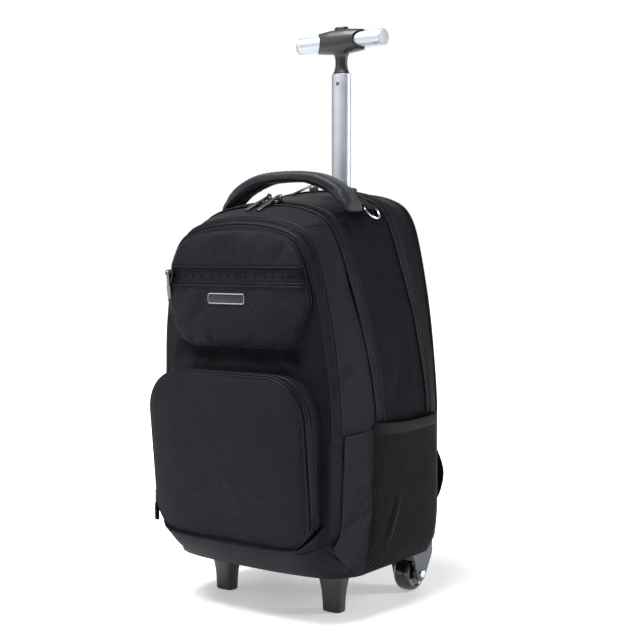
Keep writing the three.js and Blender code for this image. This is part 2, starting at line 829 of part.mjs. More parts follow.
const ringEye = ringWire / 2 + runningGap;
const tabRadius = ringEye + ringTabWall;
const ringSeat = skinFromAbove(ringX, ringDepth);
const shoulderSlope = Math.atan2(ringSeat.normal.x, ringSeat.normal.z);
const ringCentre = ringSeat.point.clone().addScaledVector(
  new THREE.Vector3(Math.sin(shoulderSlope), 0, Math.cos(shoulderSlope)), tabRadius + gap);

const ringGroup = new THREE.Group();
ringGroup.position.copy(ringCentre);
ringGroup.rotation.y = shoulderSlope + THREE.MathUtils.degToRad(ringDroop);

// The tab's section: a sewn eye round the bar and a flat tail up the shoulder.
function ringTab() {
  const halfTab = ringInnerWidth / 2 - 2;
  const place = (geometry) => toSolid(geometry.rotateY(shoulderSlope).translate(...ringCentre.toArray()));
  const block = place(rod('y', 2 * tabRadius, -halfTab, halfTab));
  const tail = place(box(-ringTabLength, 0, -halfTab, halfTab, -2 * tabRadius, 0));
  const hole = place(rod('y', boreFor(2 * ringEye), -ringInnerWidth, ringInnerWidth));
  return toGeometry(block.add(tail).subtract(hole).subtract(bodySolid(gap)));
}

bag.add(ringGroup);
addPiece('d_ring', wireLoop(ringPath(), ringWire, 8), steel, ringGroup);
addPiece('d_ring_tab', ringTab(), piping);

// Zip sliders and pulls. Each lies at a start on the skin and points to a tip; lift is the height of
// the zip under the slider, and rest the height of what the tip lies on.
const bandLift = gap + bandThickness + 2 * gap;
const panelLift = panelThickness + gap + panelZipThickness + gap;

const pocketPullDepth = pocketFront(pocketPullHeight) + pocketZipSetback + 1;

// The depth at which the middle of a zip band crosses the crown.
function bandCrown(fromDepth, width) {
  const sideDepth = fromDepth + width / 2;
  const row = bodyRow(sideDepth);
  return leanAt(sideDepth, row, bodyBottom + bodyHeight * row.height);
}

// Pulls on the top. Across is a share of the half width, and a tip lies aside and ahead of its start
// by shares of the pull's length.
const mainCrown = bandCrown(mainZipDepth, frontBandWidth);
const rearCrown = bandCrown(rearBandDepth, rearBandWidth);
const topPulls = [
  { name: 'main_left', zip: mainCrown, across: 0.007, aside: -0.37, ahead: 0.87, lift: bandLift },
  { name: 'main_right', zip: mainCrown, across: 0.11, aside: -0.21, ahead: 0.92, lift: bandLift },
  { name: 'rear', zip: rearCrown, across: -0.11, aside: -0.37, ahead: 0.87, lift: bandLift + bandPiping },
];

const zipPulls = [
  ...topPulls.map(({ name, zip, across, aside, ahead, lift }) => ({
    name,
    start: skinFromAbove(across * bodyHalfWidth, zip),
    tip: skinFromAbove(across * bodyHalfWidth + aside * pullLength, zip - ahead * pullLength),
    lift,
    rest: gap,
  })),
  {
    name: 'panel',
    start: frontOf(skin, panelPullInset - panelZipLength / 2, panelZipHeight),
    tip: frontOf(skin, -panelZipLength / 2, panelZipHeight - pullLength),
    lift: panelLift,
    rest: panelThickness + 2 * gap,
  },
  {
    name: 'pocket',
    start: {
      point: new THREE.Vector3(-pocketHalfWidth, pocketPullDepth + pocketZipWidth / 2, pocketPullHeight),
      normal: new THREE.Vector3(-1, 0, 0),
    },
    tip: {
      point: new THREE.Vector3(-pocketHalfWidth, pocketPullDepth, pocketPullHeight - pullLength),
      normal: new THREE.Vector3(-1, 0, 0),
    },
    lift: pocketPipingHeight + 2 * gap, rest: sliderRoot,
  },
];

function zipFrame(from, to, normal) {
  const along = new THREE.Vector3().subVectors(to, from).normalize();
  const across = new THREE.Vector3().crossVectors(normal, along).normalize();
  const up = new THREE.Vector3().crossVectors(along, across);
  return new THREE.Matrix4().makeBasis(along, across, up).setPosition(from);
}

function slider(pull) {
  const top = pull.start.point.clone().addScaledVector(pull.start.normal, pull.lift);
  const end = pull.tip.point.clone().addScaledVector(pull.tip.normal, pull.lift);
  const outline = rectangle(0, 0, sliderLength, sliderWidth, 2.5, 1);
  const block = prism(outline, sliderHeight + sliderRoot).translate(0, 0, -sliderRoot);
  block.applyMatrix4(zipFrame(top, end, pull.start.normal));
  const under = pull.name === 'pocket' ? pocketForm(pull.lift) : bodySolid(pull.lift);
  return toGeometry(toSolid(block).subtract(under));
}

// The pull's half outline, in shares of its length and of its half width.
const pullShape = [
  { along: -0.08, half: 0.6 }, { along: 0.35, half: 0.6 }, { along: 0.45, half: 1 }, { along: 0.97, half: 1 },
  { along: 1, half: 0.6 },
];

function pullTab(pull) {
  const high = pull.lift + sliderHeight + pullRoom + pullThickness / 2;
  const from = pull.start.point.clone().addScaledVector(pull.start.normal, high);
  const to = pull.tip.point.clone().addScaledVector(pull.tip.normal, pull.rest + pullThickness / 2);
  const right = pullShape.map(({ along, half }) => [pullLength * along, -half * pullWidth / 2]);
  const left = right.map(([x, y]) => [x, -y]).reverse();
  const plate = prism([...right, ...left], pullThickness).translate(0, 0, -pullThickness / 2);
  return plate.applyMatrix4(zipFrame(from, to, pull.start.normal));
}

for (const pull of zipPulls) {
  addPiece(`slider_${pull.name}`, slider(pull), gunmetal);
  addPiece(`pull_${pull.name}`, pullTab(pull), gunmetal);
}

// Shoulder straps, their lower webbing and its buckles, behind the back panel. A row's out is a share
// of the straps' spacing, back a share of how far they stand off the pad's flat face, and up a share of
// the way from the path's low end to its high one.
const padFace = rearDepth + gap + backPadThickness;
const buckleMiddle = strapEnd - 2 * gap - buckleLength / 2;
const strapRoute = {
  low: strapEnd,
  high: bodyTop,
  root: [{ out: 0.56, up: 0.79 }, { out: 0.58, up: 0.731 }],
  free: [
    { out: 0.62, back: 0.375, up: 0.679 }, { out: 0.74, back: 0.792, up: 0.6 },
    { out: 0.98, back: 1, up: 0.475 }, { out: 1.2, back: 0.833, up: 0.246 },
    { out: 1.38, back: 0.542, up: 0 },
  ],
};
const webRoute = {
  low: bodyBottom,
  high: buckleMiddle - buckleLength / 2 - 2 * gap,
  root: [{ out: 1.8, up: 0.246 }, { out: 1.84, up: 0.346 }],
  free: [
    { out: 1.98, back: 0.333, up: 0.472 }, { out: 1.94, back: 0.833, up: 0.636 },
    { out: 1.72, back: 0.833, up: 0.838 }, { out: 1.4, back: 0.583, up: 1 },
  ],
};

// A path behind the pad that starts on the pad itself, at its root.
function strapPath({ low, high, root, free }, thickness, side) {
  const seated = root.map(({ out, up }) => {
    const x = side * strapSpacing * out;
    const height = mix(low, high, up);
    return [x, padDepth(x, height) + gap + thickness / 2, height];
  });
  const hanging = free.map(({ out, back, up }) => (
    [side * strapSpacing * out, padFace + strapStandoff * back, mix(low, high, up)]));
  return smooth([...seated, ...hanging]);
}

const strapFoot = strapRoute.free.at(-1);
const webHead = webRoute.free.at(-1);
const buckleOut = mix(strapFoot.out, webHead.out, 0.5);
const buckleBack = mix(strapFoot.back, webHead.back, 0.5);
const pad = toSolid(backForm(gap));
for (const [name, side] of bothSides) {
  const strapLine = strapPath(strapRoute, strapThickness, side);
  const strap = toSolid(strip(strapLine, strapWidth, strapThickness, alongX, 14));
  addPiece(`shoulder_strap_${name}`, toGeometry(strap.subtract(pad)), cloth);
  const webLine = strapPath(webRoute, webbingThickness, side);
  const webbing = toSolid(strip(webLine, webbingWidth, webbingThickness, alongX, 14, 0));
  addPiece(`lower_webbing_${name}`, toGeometry(webbing.subtract(pad)), piping);
  const halfBuckle = webbingWidth / 2 + buckleFrame;
  const frame = box(-halfBuckle, halfBuckle, -buckleThickness / 2, buckleThickness / 2,
    -buckleLength / 2, buckleLength / 2);
  const slot = box(-webbingWidth / 2, webbingWidth / 2, -buckleThickness, buckleThickness,
    -buckleSlot / 2, buckleSlot / 2);
  const buckle = toGeometry(toSolid(frame).subtract(toSolid(slot)));
  buckle.translate(side * strapSpacing * buckleOut, padFace + strapStandoff * buckleBack, buckleMiddle);
  addPiece(`buckle_${name}`, buckle, blackPlastic);
}

// Telescopic pole: a fixed sleeve in the bag, a collar on its top and one sliding oval tube.
const poleTop = gripHeight - hubHeight / 2 - neckLength;
const sleeveWidth = poleWidth + 2 * (runningGap + sleeveWall);
const sleeveThickness = poleThickness + 2 * (runningGap + sleeveWall);

// A solid bar of the pole's oval section, and a tube of it.
function oval(width, thickness, low, high) {
  const rings = [low, high].map((height) => ovalRing(width, thickness, height, poleSides, poleRoundness));
  return loft(rings).translate(0, poleDepth, 0);
}

function ovalTube(width, thickness, tubeWall, low, high) {
  const inside = toSolid(oval(width - 2 * tubeWall, thickness - 2 * tubeWall, low - 1, high + 1));
  return toGeometry(toSolid(oval(width, thickness, low, high)).subtract(inside));
}

const sleeveLow = bodyBottom + wall + sleeveFoot;
const sleeveHigh = bodyTop + collarHeight;
addPiece('pole_sleeve', ovalTube(sleeveWidth, sleeveThickness, sleeveWall, sleeveLow, sleeveHigh), steel);

const collarGrowth = 2 * (gap + collarRim);
const collarBlank = ovalTube(sleeveWidth + collarGrowth, sleeveThickness + collarGrowth, collarRim,
  bodyTop - collarReach, sleeveHigh);
addPiece('pole_collar', toGeometry(toSolid(collarBlank).subtract(mainSolid(gap))), blackPlastic);

// The lock pin sits in a hole through the tube's flat front and stands a little proud of it.
const poleFlat = Math.max(...ovalRing(poleWidth, poleThickness, 0, poleSides, poleRoundness).map((p) => p.y));
const pinFront = poleDepth - poleFlat;

function lockPin(diameter, proud, deep) {
  return rod('y', diameter, pinFront - proud, pinFront + deep, 12).translate(0, 0, poleTop - lockPinDrop);
}

const poleBlank = ovalTube(poleWidth, poleThickness, poleWall, poleTop - poleLength, poleTop - gap);
const pinHole = toSolid(lockPin(lockPinDiameter + 2 * gap, poleWall, 2 * poleWall));
addPiece('pole_tube', toGeometry(toSolid(poleBlank).subtract(pinHole)), steel);
addPiece('lock_pin', lockPin(lockPinDiameter, lockPinProud, poleWall), gunmetal);

// T-handle: a moulded hub with a waisted neck, a through tube and a push button on top.
const hubTable = [
  { along: -1, height: 0.82, width: 0.84 }, { along: -0.6, height: 0.93, width: 0.95 },
  { along: -0.25, height: 1, width: 1 }, { along: 0.25, height: 1, width: 1 },
  { along: 0.6, height: 0.93, width: 0.95 }, { along: 1, height: 0.82, width: 0.84 },
];
const neckTable = [
  { drop: -0.5, width: 1.7, depth: 1.5 }, { drop: 0, width: 1.3, depth: 1.12 },
  { drop: 0.2, width: 1.06, depth: 0.92 }, { drop: 0.5, width: 1, depth: 0.86 },
  { drop: 0.78, width: 1.15, depth: 0.92 }, { drop: 1, width: 1.56, depth: 1.06 },
];

function hub() {
  const body = toSolid(loft(hubTable.map(({ along, height, width }) => (
    ovalRing(hubHeight * height, hubWidth * width, 0, hubSides, 0.9)
      .map((p) => new THREE.Vector3(along * hubLength / 2, p.y, p.x))
  ))));
  const neck = toSolid(loft(neckTable.map(({ drop, width, depth }) => (
    ovalRing(neckWaist * width, neckWaist * depth, -hubHeight / 2 - neckLength * drop, hubSides)
  ))));
  const boreDiameter = boreFor(gripDiameter + 2 * gap, gripSides);
  const bore = toSolid(rod('x', boreDiameter, -hubLength, hubLength, gripSides));
  let solid = body.add(neck).subtract(bore);
  for (const [, side] of bothSides) {
    const scoop = rod('y', 2 * hubScoopRadius, -hubWidth, hubWidth);
    solid = solid.subtract(toSolid(scoop.translate(side * (hubLength / 2 + hubScoopSetback), 0, 0)));
  }
  const pocketDepth = buttonBelow + buttonTravel + gap;
  const pocket = buttonForm(runningGap, hubHeight / 2 - pocketDepth, hubHeight);
  return toGeometry(solid.subtract(toSolid(pocket)));
}

function buttonForm(grow, low, high) {
  return loft([
    ovalRing(buttonLength + 2 * grow, buttonWidth + 2 * grow, low, buttonSides),
    ovalRing(buttonLength + 2 * grow, buttonWidth + 2 * grow, high, buttonSides),
  ]);
}

const handleGroup = new THREE.Group();
handleGroup.position.set(0, poleDepth, gripHeight);
bag.add(handleGroup);
addPiece('handle_hub', hub(), blackPlastic, handleGroup);

const gripTube = toSolid(rod('x', gripDiameter, -gripLength / 2, gripLength / 2, gripSides))
  .subtract(toSolid(rod('x', gripDiameter - 2 * gripWall, -gripLength, gripLength, gripSides)));
addPiece('grip_tube', toGeometry(gripTube), steel, handleGroup);
for (const [name, side] of bothSides) {
  const ends = [side * (gripLength / 2 + gap), side * (gripLength / 2 + gap + capThickness)];
  const cap = rod('x', gripDiameter, Math.min(...ends), Math.max(...ends), gripSides);
  addPiece(`end_cap_${name}`, cap, greyPlastic, handleGroup);
}
const button = loft([
  ovalRing(buttonLength, buttonWidth, hubHeight / 2 - buttonBelow, buttonSides),
  ovalRing(buttonLength, buttonWidth, hubHeight / 2 + buttonRise - buttonEdge, buttonSides),
  ovalRing(
    buttonLength - 3 * buttonEdge, buttonWidth - 3 * buttonEdge, hubHeight / 2 + buttonRise, buttonSides,
  ),
]);
addPiece('push_button', button, blackPlastic, handleGroup);

// Front feet: flared blocks that stand on the floor. Shares of the foot's height, width and depth.
const footTable = [
  { height: 0, width: 0.68, depth: 0.6 }, { height: 0.04, width: 0.72, depth: 0.66 },
  { height: 0.45, width: 0.74, depth: 0.7 }, { height: 0.75, width: 0.83, depth: 0.82 },
  { height: 1, width: 1, depth: 1 },
];
for (const [name, side] of bothSides) {
  const foot = loft(footTable.map(({ height, width, depth }) => (
    ovalRing(footTopWidth * width, footTopDepth * depth, footHeight * height, footSides, 0.6)
  )));
  addPiece(`foot_${name}`, foot, blackPlastic).position.x = side * footSpacing;
}

// Wheels with their housings and axles, at the rear corners.
const cheekInside = wheelWidth / 2 + cheekRoom;
const cheekOutside = cheekInside + cheekThickness;
// The housing's outline from the side, in shares of the wheel's radius from its axle.
const housingTable = [
  { back: -1.25, up: 1.9 }, { back: -1.2, up: 1.2 }, { back: -0.82, up: 1.0 },
  { back: -0.4, up: -0.12 }, { back: -0.26, up: -0.34 }, { back: 0, up: -0.42 },
  { back: 0.28, up: -0.32 }, { back: 0.44, up: -0.1 }, { back: 1.08, up: 0.92 },
  { back: 1.14, up: 1.35 }, { back: 1.08, up: 2.1 },
];

function wheelHousing(side) {
  const outline = housingTable.map(({ back, up }) => [back * wheelRadius, up * wheelRadius]);
  const blank = prism(outline, 2 * cheekOutside);
  blank.translate(0, 0, -cheekOutside);
  blank.rotateX(Math.PI / 2);
  blank.rotateZ(Math.PI / 2);
  const place = (geometry) => toSolid(geometry.translate(side * wheelSpacing, wheelDepth, wheelRadius));
  const well = rod('x', 2 * (wheelRadius + wheelClearance), -cheekInside, cheekInside, wellSides);
  const hole = rod('x', boreFor(axleDiameter + 2 * gap), -2 * cheekOutside, 2 * cheekOutside);
  return toGeometry(place(blank).subtract(place(well)).subtract(place(hole)).subtract(bodySolid(gap))
    .subtract(pouchForm(side, -gap)));
}

// Half of the wheel's profile, from its bore to its tread.
const wheelProfile = [
  { radius: axleDiameter / 2 + runningGap, out: wheelWidth / 2 + hubBoss },
  { radius: axleDiameter / 2 + hubBoss + 1, out: wheelWidth / 2 + hubBoss },
  { radius: axleDiameter / 2 + hubBoss + 2, out: wheelWidth / 2 },
  { radius: wheelRadius - treadDrop, out: wheelWidth / 2 },
  { radius: wheelRadius, out: wheelWidth / 2 - treadSide },
];

function wheel() {
  const near = wheelProfile.map(({ radius, out }) => new THREE.Vector2(radius, -out));
  const far = wheelProfile.map(({ radius, out }) => new THREE.Vector2(radius, out)).reverse();
  const turned = new THREE.LatheGeometry([...near, ...far, near[0].clone()], wheelSides);
  turned.rotateZ(Math.PI / 2);
  turned.deleteAttribute('normal');
  turned.deleteAttribute('uv');
  return toGeometry(toSolid(outward(mergeVertices(turned, 1e-4))));
}

// The axle's head lies on the outer cheek.
function axle(side) {
  const headStart = cheekOutside + gap;
  const shaft = toSolid(rod('x', axleDiameter, -headStart, headStart));
  const head = rod('x', axleHeadDiameter, 0, axleHeadHeight).translate(headStart, 0, 0);
  if (side < 0) head.rotateY(Math.PI);
  return toGeometry(shaft.add(toSolid(head)));
}

for (const [name, side] of bothSides) {
  addPiece(`wheel_housing_${name}`, wheelHousing(side), greyPlastic);
  const wheelGroup = new THREE.Group();
  wheelGroup.position.set(side * wheelSpacing, wheelDepth, wheelRadius);
  bag.add(wheelGroup);
  addPiece(`wheel_${name}`, wheel(), tyreBlack, wheelGroup);
  addPiece(`axle_${name}`, axle(side), steel, wheelGroup);
}

const middle = new THREE.Box3().setFromObject(bag).getCenter(new THREE.Vector3());
bag.position.set(0, -middle.y, 0);

export default bag;
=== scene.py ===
"""The looks of a wheeled backpack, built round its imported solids.

Metres, in the solids' own frame: +X to the side with the ring, +Y to the back, +Z up.
Depths are measured from the line through the two front feet, and `Depths` turns them
into the frame's Y.
"""

from __future__ import annotations

import json
import logging
import math
from dataclasses import dataclass
from enum import Enum
from typing import Callable, Sequence

import bmesh
import bpy
import numpy as np
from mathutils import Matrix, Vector
from mathutils.bvhtree import BVHTree

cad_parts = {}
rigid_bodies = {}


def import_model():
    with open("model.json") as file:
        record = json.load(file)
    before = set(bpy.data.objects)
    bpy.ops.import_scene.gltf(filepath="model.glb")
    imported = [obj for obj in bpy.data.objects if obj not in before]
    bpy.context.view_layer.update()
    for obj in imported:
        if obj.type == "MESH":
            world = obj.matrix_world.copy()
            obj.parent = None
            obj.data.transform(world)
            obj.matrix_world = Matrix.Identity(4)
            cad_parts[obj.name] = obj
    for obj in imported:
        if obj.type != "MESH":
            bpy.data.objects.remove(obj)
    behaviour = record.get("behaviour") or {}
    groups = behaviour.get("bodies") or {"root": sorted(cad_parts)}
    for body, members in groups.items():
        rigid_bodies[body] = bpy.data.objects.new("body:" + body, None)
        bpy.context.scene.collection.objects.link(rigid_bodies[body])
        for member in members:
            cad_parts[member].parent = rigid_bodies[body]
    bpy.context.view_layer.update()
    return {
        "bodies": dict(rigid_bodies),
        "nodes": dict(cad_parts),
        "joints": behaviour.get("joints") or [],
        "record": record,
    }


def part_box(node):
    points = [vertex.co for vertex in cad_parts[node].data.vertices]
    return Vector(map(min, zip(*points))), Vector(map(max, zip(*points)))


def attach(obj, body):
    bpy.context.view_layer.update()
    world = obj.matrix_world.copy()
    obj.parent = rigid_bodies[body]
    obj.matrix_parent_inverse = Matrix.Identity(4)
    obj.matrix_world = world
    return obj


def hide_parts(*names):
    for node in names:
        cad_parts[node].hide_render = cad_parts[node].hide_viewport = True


LOG = logging.getLogger("backpack")
MM = 0.001
SIDES = {"left": -1, "right": 1}

Points = np.ndarray
Table = dict[str, tuple[float, ...]]


# Numbers and curves


def unit(vectors: Points) -> Points:
    """Vectors of length one, row by row."""
    length = np.linalg.norm(vectors, axis=-1, keepdims=True)
    return vectors / np.maximum(length, 1e-12)


def ease(share: Points) -> Points:
    """A share that starts and ends slowly."""
    held = np.clip(share, 0, 1)
    return held * held * (3 - 2 * held)


def monotone(at: Points, table: Table, key: str, column: str) -> Points:
    """Reads a table's column between its rows, smoothly and with no overshoot.

    Args:
        at: Values of the key column to read at.
        table: The named columns.
        key: The name of the column that rises from row to row.
        column: The name of the column to read.

    Returns:
        One value for each in at.
    """
    xs = np.array(table[key], float)
    ys = np.array(table[column], float)
    step = np.diff(xs)
    slope = np.diff(ys) / step
    tangent = np.concatenate([slope[:1], np.zeros(len(xs) - 2), slope[-1:]])
    product = slope[:-1] * slope[1:]
    total = slope[:-1] + slope[1:]
    safe = np.where(product > 0, total, 1)
    tangent[1:-1] = np.where(product > 0, 2 * product / safe, 0)
    k = np.clip(np.searchsorted(xs, at, side="right") - 1, 0, len(xs) - 2)
    t = np.clip((at - xs[k]) / step[k], 0, 1)
    return (
        ys[k] * (2 * t**3 - 3 * t**2 + 1)
        + step[k] * tangent[k] * (t**3 - 2 * t**2 + t)
        + ys[k + 1] * (3 * t**2 - 2 * t**3)
        + step[k] * tangent[k + 1] * (t**3 - t**2)
    )


def through(points: Sequence[Sequence[float]], at: Points) -> Points:
    """Places on a smooth curve through some points, counted in points from the first."""
    p = np.asarray(points, float)
    p = np.vstack([2 * p[0] - p[1], p, 2 * p[-1] - p[-2]])
    k = np.clip(np.floor(at).astype(int), 0, len(p) - 4)
    t = (np.asarray(at, float) - k)[:, None]
    a, b, c, d = p[k], p[k + 1], p[k + 2], p[k + 3]
    return 0.5 * (2 * b + (c - a) * t + (2 * a - 5 * b + 4 * c - d) * t**2 + (3 * b - a - 3 * c + d) * t**3)


def curve(points: Sequence[Sequence[float]], count: int) -> Points:
    """A number of evenly spaced places on a smooth curve through some points."""
    fine = through(points, np.linspace(0, len(points) - 1, 40 * len(points)))
    return even(fine, count)


def even(line: Points, count: int) -> Points:
    """Places at even steps along a line of points."""
    run = np.concatenate([[0], np.cumsum(np.linalg.norm(np.diff(line, axis=0), axis=1))])
    at = np.linspace(0, run[-1], count)
    return np.stack([np.interp(at, run, line[:, i]) for i in range(line.shape[1])], axis=1)


def length_of(line: Points) -> float:
    """The length of a line of points."""
    return float(np.linalg.norm(np.diff(line, axis=0), axis=1).sum())


def oval(width: float, depth: float, sides: int, roundness: float = 1.0) -> Points:
    """A ring of [x, y] points: an ellipse, squarer where the roundness is under 1."""
    angle = np.arange(sides) / sides * 2 * np.pi
    c, s = np.cos(angle), np.sin(angle)
    return np.stack(
        [width / 2 * np.sign(c) * np.abs(c) ** roundness, depth / 2 * np.sign(s) * np.abs(s) ** roundness],
        axis=1,
    )


def patch(outline: Points, corners: Sequence[int], rows: int, columns: int, crowd: float = 0.0) -> Points:
    """A net of points inside a closed outline, even all over.

    Args:
        outline: The outline's points.
        corners: The four points that the net's corners take, in order round the outline.
        rows: The net's rows.
        columns: The net's columns.
        crowd: How much closer the lines lie at the edge, from 0 to 1.

    Returns:
        The points, row by row.
    """
    count = len(outline)
    sides = []
    for number, first in enumerate(corners):
        last = corners[(number + 1) % 4]
        last += count if last <= first else 0
        run = outline[np.arange(first, last + 1) % count]
        sides.append(run)

    def spread(steps: int) -> Points:
        """Shares from 0 to 1 that crowd at both ends."""
        t = np.linspace(0, 1, steps)
        return (1 - crowd) * t + crowd * (1 - np.cos(np.pi * t)) / 2

    def along(run: Points, shares: Points) -> Points:
        """Points at shares of a side's length."""
        fine = even(run, 2000)
        at = shares * 1999
        return np.stack([np.interp(at, np.arange(2000), fine[:, i]) for i in range(fine.shape[1])], axis=1)

    u, v = spread(columns), spread(rows)
    low, right = along(sides[0], u), along(sides[1], v)
    high, left = along(sides[2][::-1], u), along(sides[3][::-1], v)
    us, vs = u[None, :, None], v[:, None, None]
    ruled = (1 - vs) * low[None] + vs * high[None] + (1 - us) * left[:, None] + us * right[:, None]
    bent = (1 - us) * (1 - vs) * low[0] + us * (1 - vs) * low[-1]
    bent = bent + (1 - us) * vs * high[0] + us * vs * high[-1]
    return ruled - bent


def from_edge(points: Points, outline: Points) -> Points:
    """How far each flat point lies from a closed outline."""
    ends = np.roll(outline, -1, axis=0) - outline
    away = points[:, None] - outline[None]
    share = np.clip((away * ends).sum(-1) / (ends * ends).sum(-1), 0, 1)
    return np.linalg.norm(away - share[..., None] * ends, axis=-1).min(axis=1)


def at_height(ring: Points, height: float) -> Points:
    """Puts a ring of [x, y] points at a height."""
    return np.column_stack([ring, np.full(len(ring), height)])


# Meshes


class Facets:
    """Points and faces gathered for one mesh."""

    def __init__(self) -> None:
        """Starts with nothing in it."""
        self.points: list[Points] = []
        self.faces: list[list[int]] = []
        self.count = 0

    def add(self, points: Points, faces: Points) -> None:
        """Adds points, and faces that count from the first of them."""
        self.points.append(np.asarray(points, float).reshape(-1, 3))
        self.faces.extend((np.asarray(faces) + self.count).tolist())
        self.count += len(self.points[-1])

    def grid(self, rows: Points, around: bool = False, along: bool = False) -> None:
        """Adds a net of quads.

        Args:
            rows: The points, row by row.
            around: Whether each row closes on itself.
            along: Whether the last row joins the first.
        """
        r, c = rows.shape[:2]
        index = np.arange(r * c).reshape(r, c)
        if around:
            index = np.hstack([index, index[:, :1]])
        if along:
            index = np.vstack([index, index[:1]])
        quads = np.stack([index[:-1, :-1], index[:-1, 1:], index[1:, 1:], index[1:, :-1]], axis=-1)
        self.add(rows, quads.reshape(-1, 4))

    def loft(self, rings: Points, hoop: bool = False) -> None:
        """Adds a body through closed rings, with flat ends or as a hoop."""
        start = self.count
        self.grid(rings, around=True, along=hoop)
        if not hoop:
            c = rings.shape[1]
            last = start + (len(rings) - 1) * c
            self.faces.append(list(range(start, start + c))[::-1])
            self.faces.append(list(range(last, last + c)))

    def pillow(self, front: Points, back: Points) -> None:
        """Adds a closed body between two nets of points that share their border."""
        r, c = front.shape[:2]
        start = self.count
        self.grid(front)
        index = np.arange(r * c).reshape(r, c)
        border = np.zeros((r, c), bool)
        border[0], border[-1], border[:, 0], border[:, -1] = True, True, True, True
        inner = back.reshape(-1, 3)[~border.ravel()]
        mirror = index.copy().ravel()
        mirror[~border.ravel()] = r * c + np.arange(len(inner))
        mirror = mirror.reshape(r, c) + start
        self.points.append(inner)
        self.count += len(inner)
        quads = np.stack([mirror[:-1, :-1], mirror[1:, :-1], mirror[1:, 1:], mirror[:-1, 1:]], axis=-1)
        self.faces.extend(quads.reshape(-1, 4).tolist())

    def sweep(self, line: Points, out: Points, section: Points, closed: bool = False) -> None:
        """Adds a body of one section along a line.

        Args:
            line: The points of the line.
            out: The direction at each point that the section's second axis takes.
            section: The section's [across, out] points.
            closed: Whether the line closes on itself.
        """
        if closed:
            along = unit(np.roll(line, -1, axis=0) - np.roll(line, 1, axis=0))
        else:
            along = unit(np.gradient(line, axis=0))
        across = unit(np.cross(along, out))
        up = np.cross(across, along)
        rings = (
            line[:, None]
            + section[None, :, :1] * across[:, None]
            + section[None, :, 1:2] * up[:, None]
        )
        self.loft(rings, hoop=closed)

    def tube(self, line: Points, out: Points, radius: float, sides: int = 8, closed: bool = False) -> None:
        """Adds a round cord along a line."""
        self.sweep(line, out, oval(2 * radius, 2 * radius, sides), closed)

    def blocks(self, middles: Points, axes: Sequence[Points], size: Sequence[float]) -> None:
        """Adds one small block at each place.

        Args:
            middles: The places.
            axes: The three directions of each block's sides.
            size: The lengths of its sides along them.
        """
        corners = np.array([[x, y, z] for z in (-0.5, 0.5) for y in (-0.5, 0.5) for x in (-0.5, 0.5)])
        points = middles[:, None] + sum(
            corners[None, :, i : i + 1] * size[i] * axes[i][:, None] for i in range(3)
        )
        sides = np.array([[0, 2, 3, 1], [4, 5, 7, 6], [0, 1, 5, 4], [2, 6, 7, 3], [0, 4, 6, 2], [1, 3, 7, 5]])
        faces = sides[None] + 8 * np.arange(len(middles))[:, None, None]
        self.add(points.reshape(-1, 3), faces.reshape(-1, 4))

    def build(self, name: str, crease: float = 35.0) -> bpy.types.Object:
        """Makes a mesh object of what was gathered.

        Args:
            name: The object's name.
            crease: Edges that turn by more degrees than this stay sharp.

        Returns:
            The object, linked to the scene.
        """
        mesh = bpy.data.meshes.new(name)
        mesh.from_pydata(np.vstack(self.points).tolist(), [], self.faces)
        form = bmesh.new()
        form.from_mesh(mesh)
        bmesh.ops.remove_doubles(form, verts=form.verts, dist=1e-6)
        bmesh.ops.recalc_face_normals(form, faces=form.faces)
        form.to_mesh(mesh)
        form.free()
        mesh.shade_smooth()
        mesh.set_sharp_from_angle(angle=math.radians(crease))
        piece = bpy.data.objects.new(name, mesh)
        bpy.context.scene.collection.objects.link(piece)
        return piece


def coordinates(piece: bpy.types.Object) -> Points:
    """The points of an object's mesh."""
    flat = np.zeros(3 * len(piece.data.vertices), np.float32)
    piece.data.vertices.foreach_get("co", flat)
    return flat.reshape(-1, 3).astype(float)


def place_points(piece: bpy.types.Object, points: Points) -> None:
    """Moves the points of an object's mesh."""
    piece.data.vertices.foreach_set("co", points.astype(np.float32).ravel())
    piece.data.update()


def bake(piece: bpy.types.Object) -> None:
    """Applies an object's modifiers."""
    graph = bpy.context.evaluated_depsgraph_get()
    mesh = bpy.data.meshes.new_from_object(piece.evaluated_get(graph))
    piece.modifiers.clear()
    piece.data = mesh
    piece.data.shade_smooth()


def cut(piece: bpy.types.Object, tool: bpy.types.Object, operation: str = "DIFFERENCE") -> None:
    """Cuts one closed object with another, or joins it, and removes the tool."""
    change = piece.modifiers.new("cut", "BOOLEAN")
    change.object = tool
    change.operation = operation
    change.solver = "EXACT"
    bake(piece)
    bpy.data.objects.remove(tool)


def soften(piece: bpy.types.Object, voxel: float, repeats: int) -> None:
    """Rounds an object's edges, as moulding does, in cells of a size."""
    cells = piece.modifiers.new("cells", "REMESH")
    cells.mode = "VOXEL"
    cells.voxel_size = voxel
    smooth = piece.modifiers.new("smooth", "SMOOTH")
    smooth.iterations = repeats
    bake(piece)


# Finishes


class Weave(Enum):
    """How a cloth's threads lie."""

    TWILL = "twill"
    BALLISTIC = "ballistic"
    RIB = "rib"


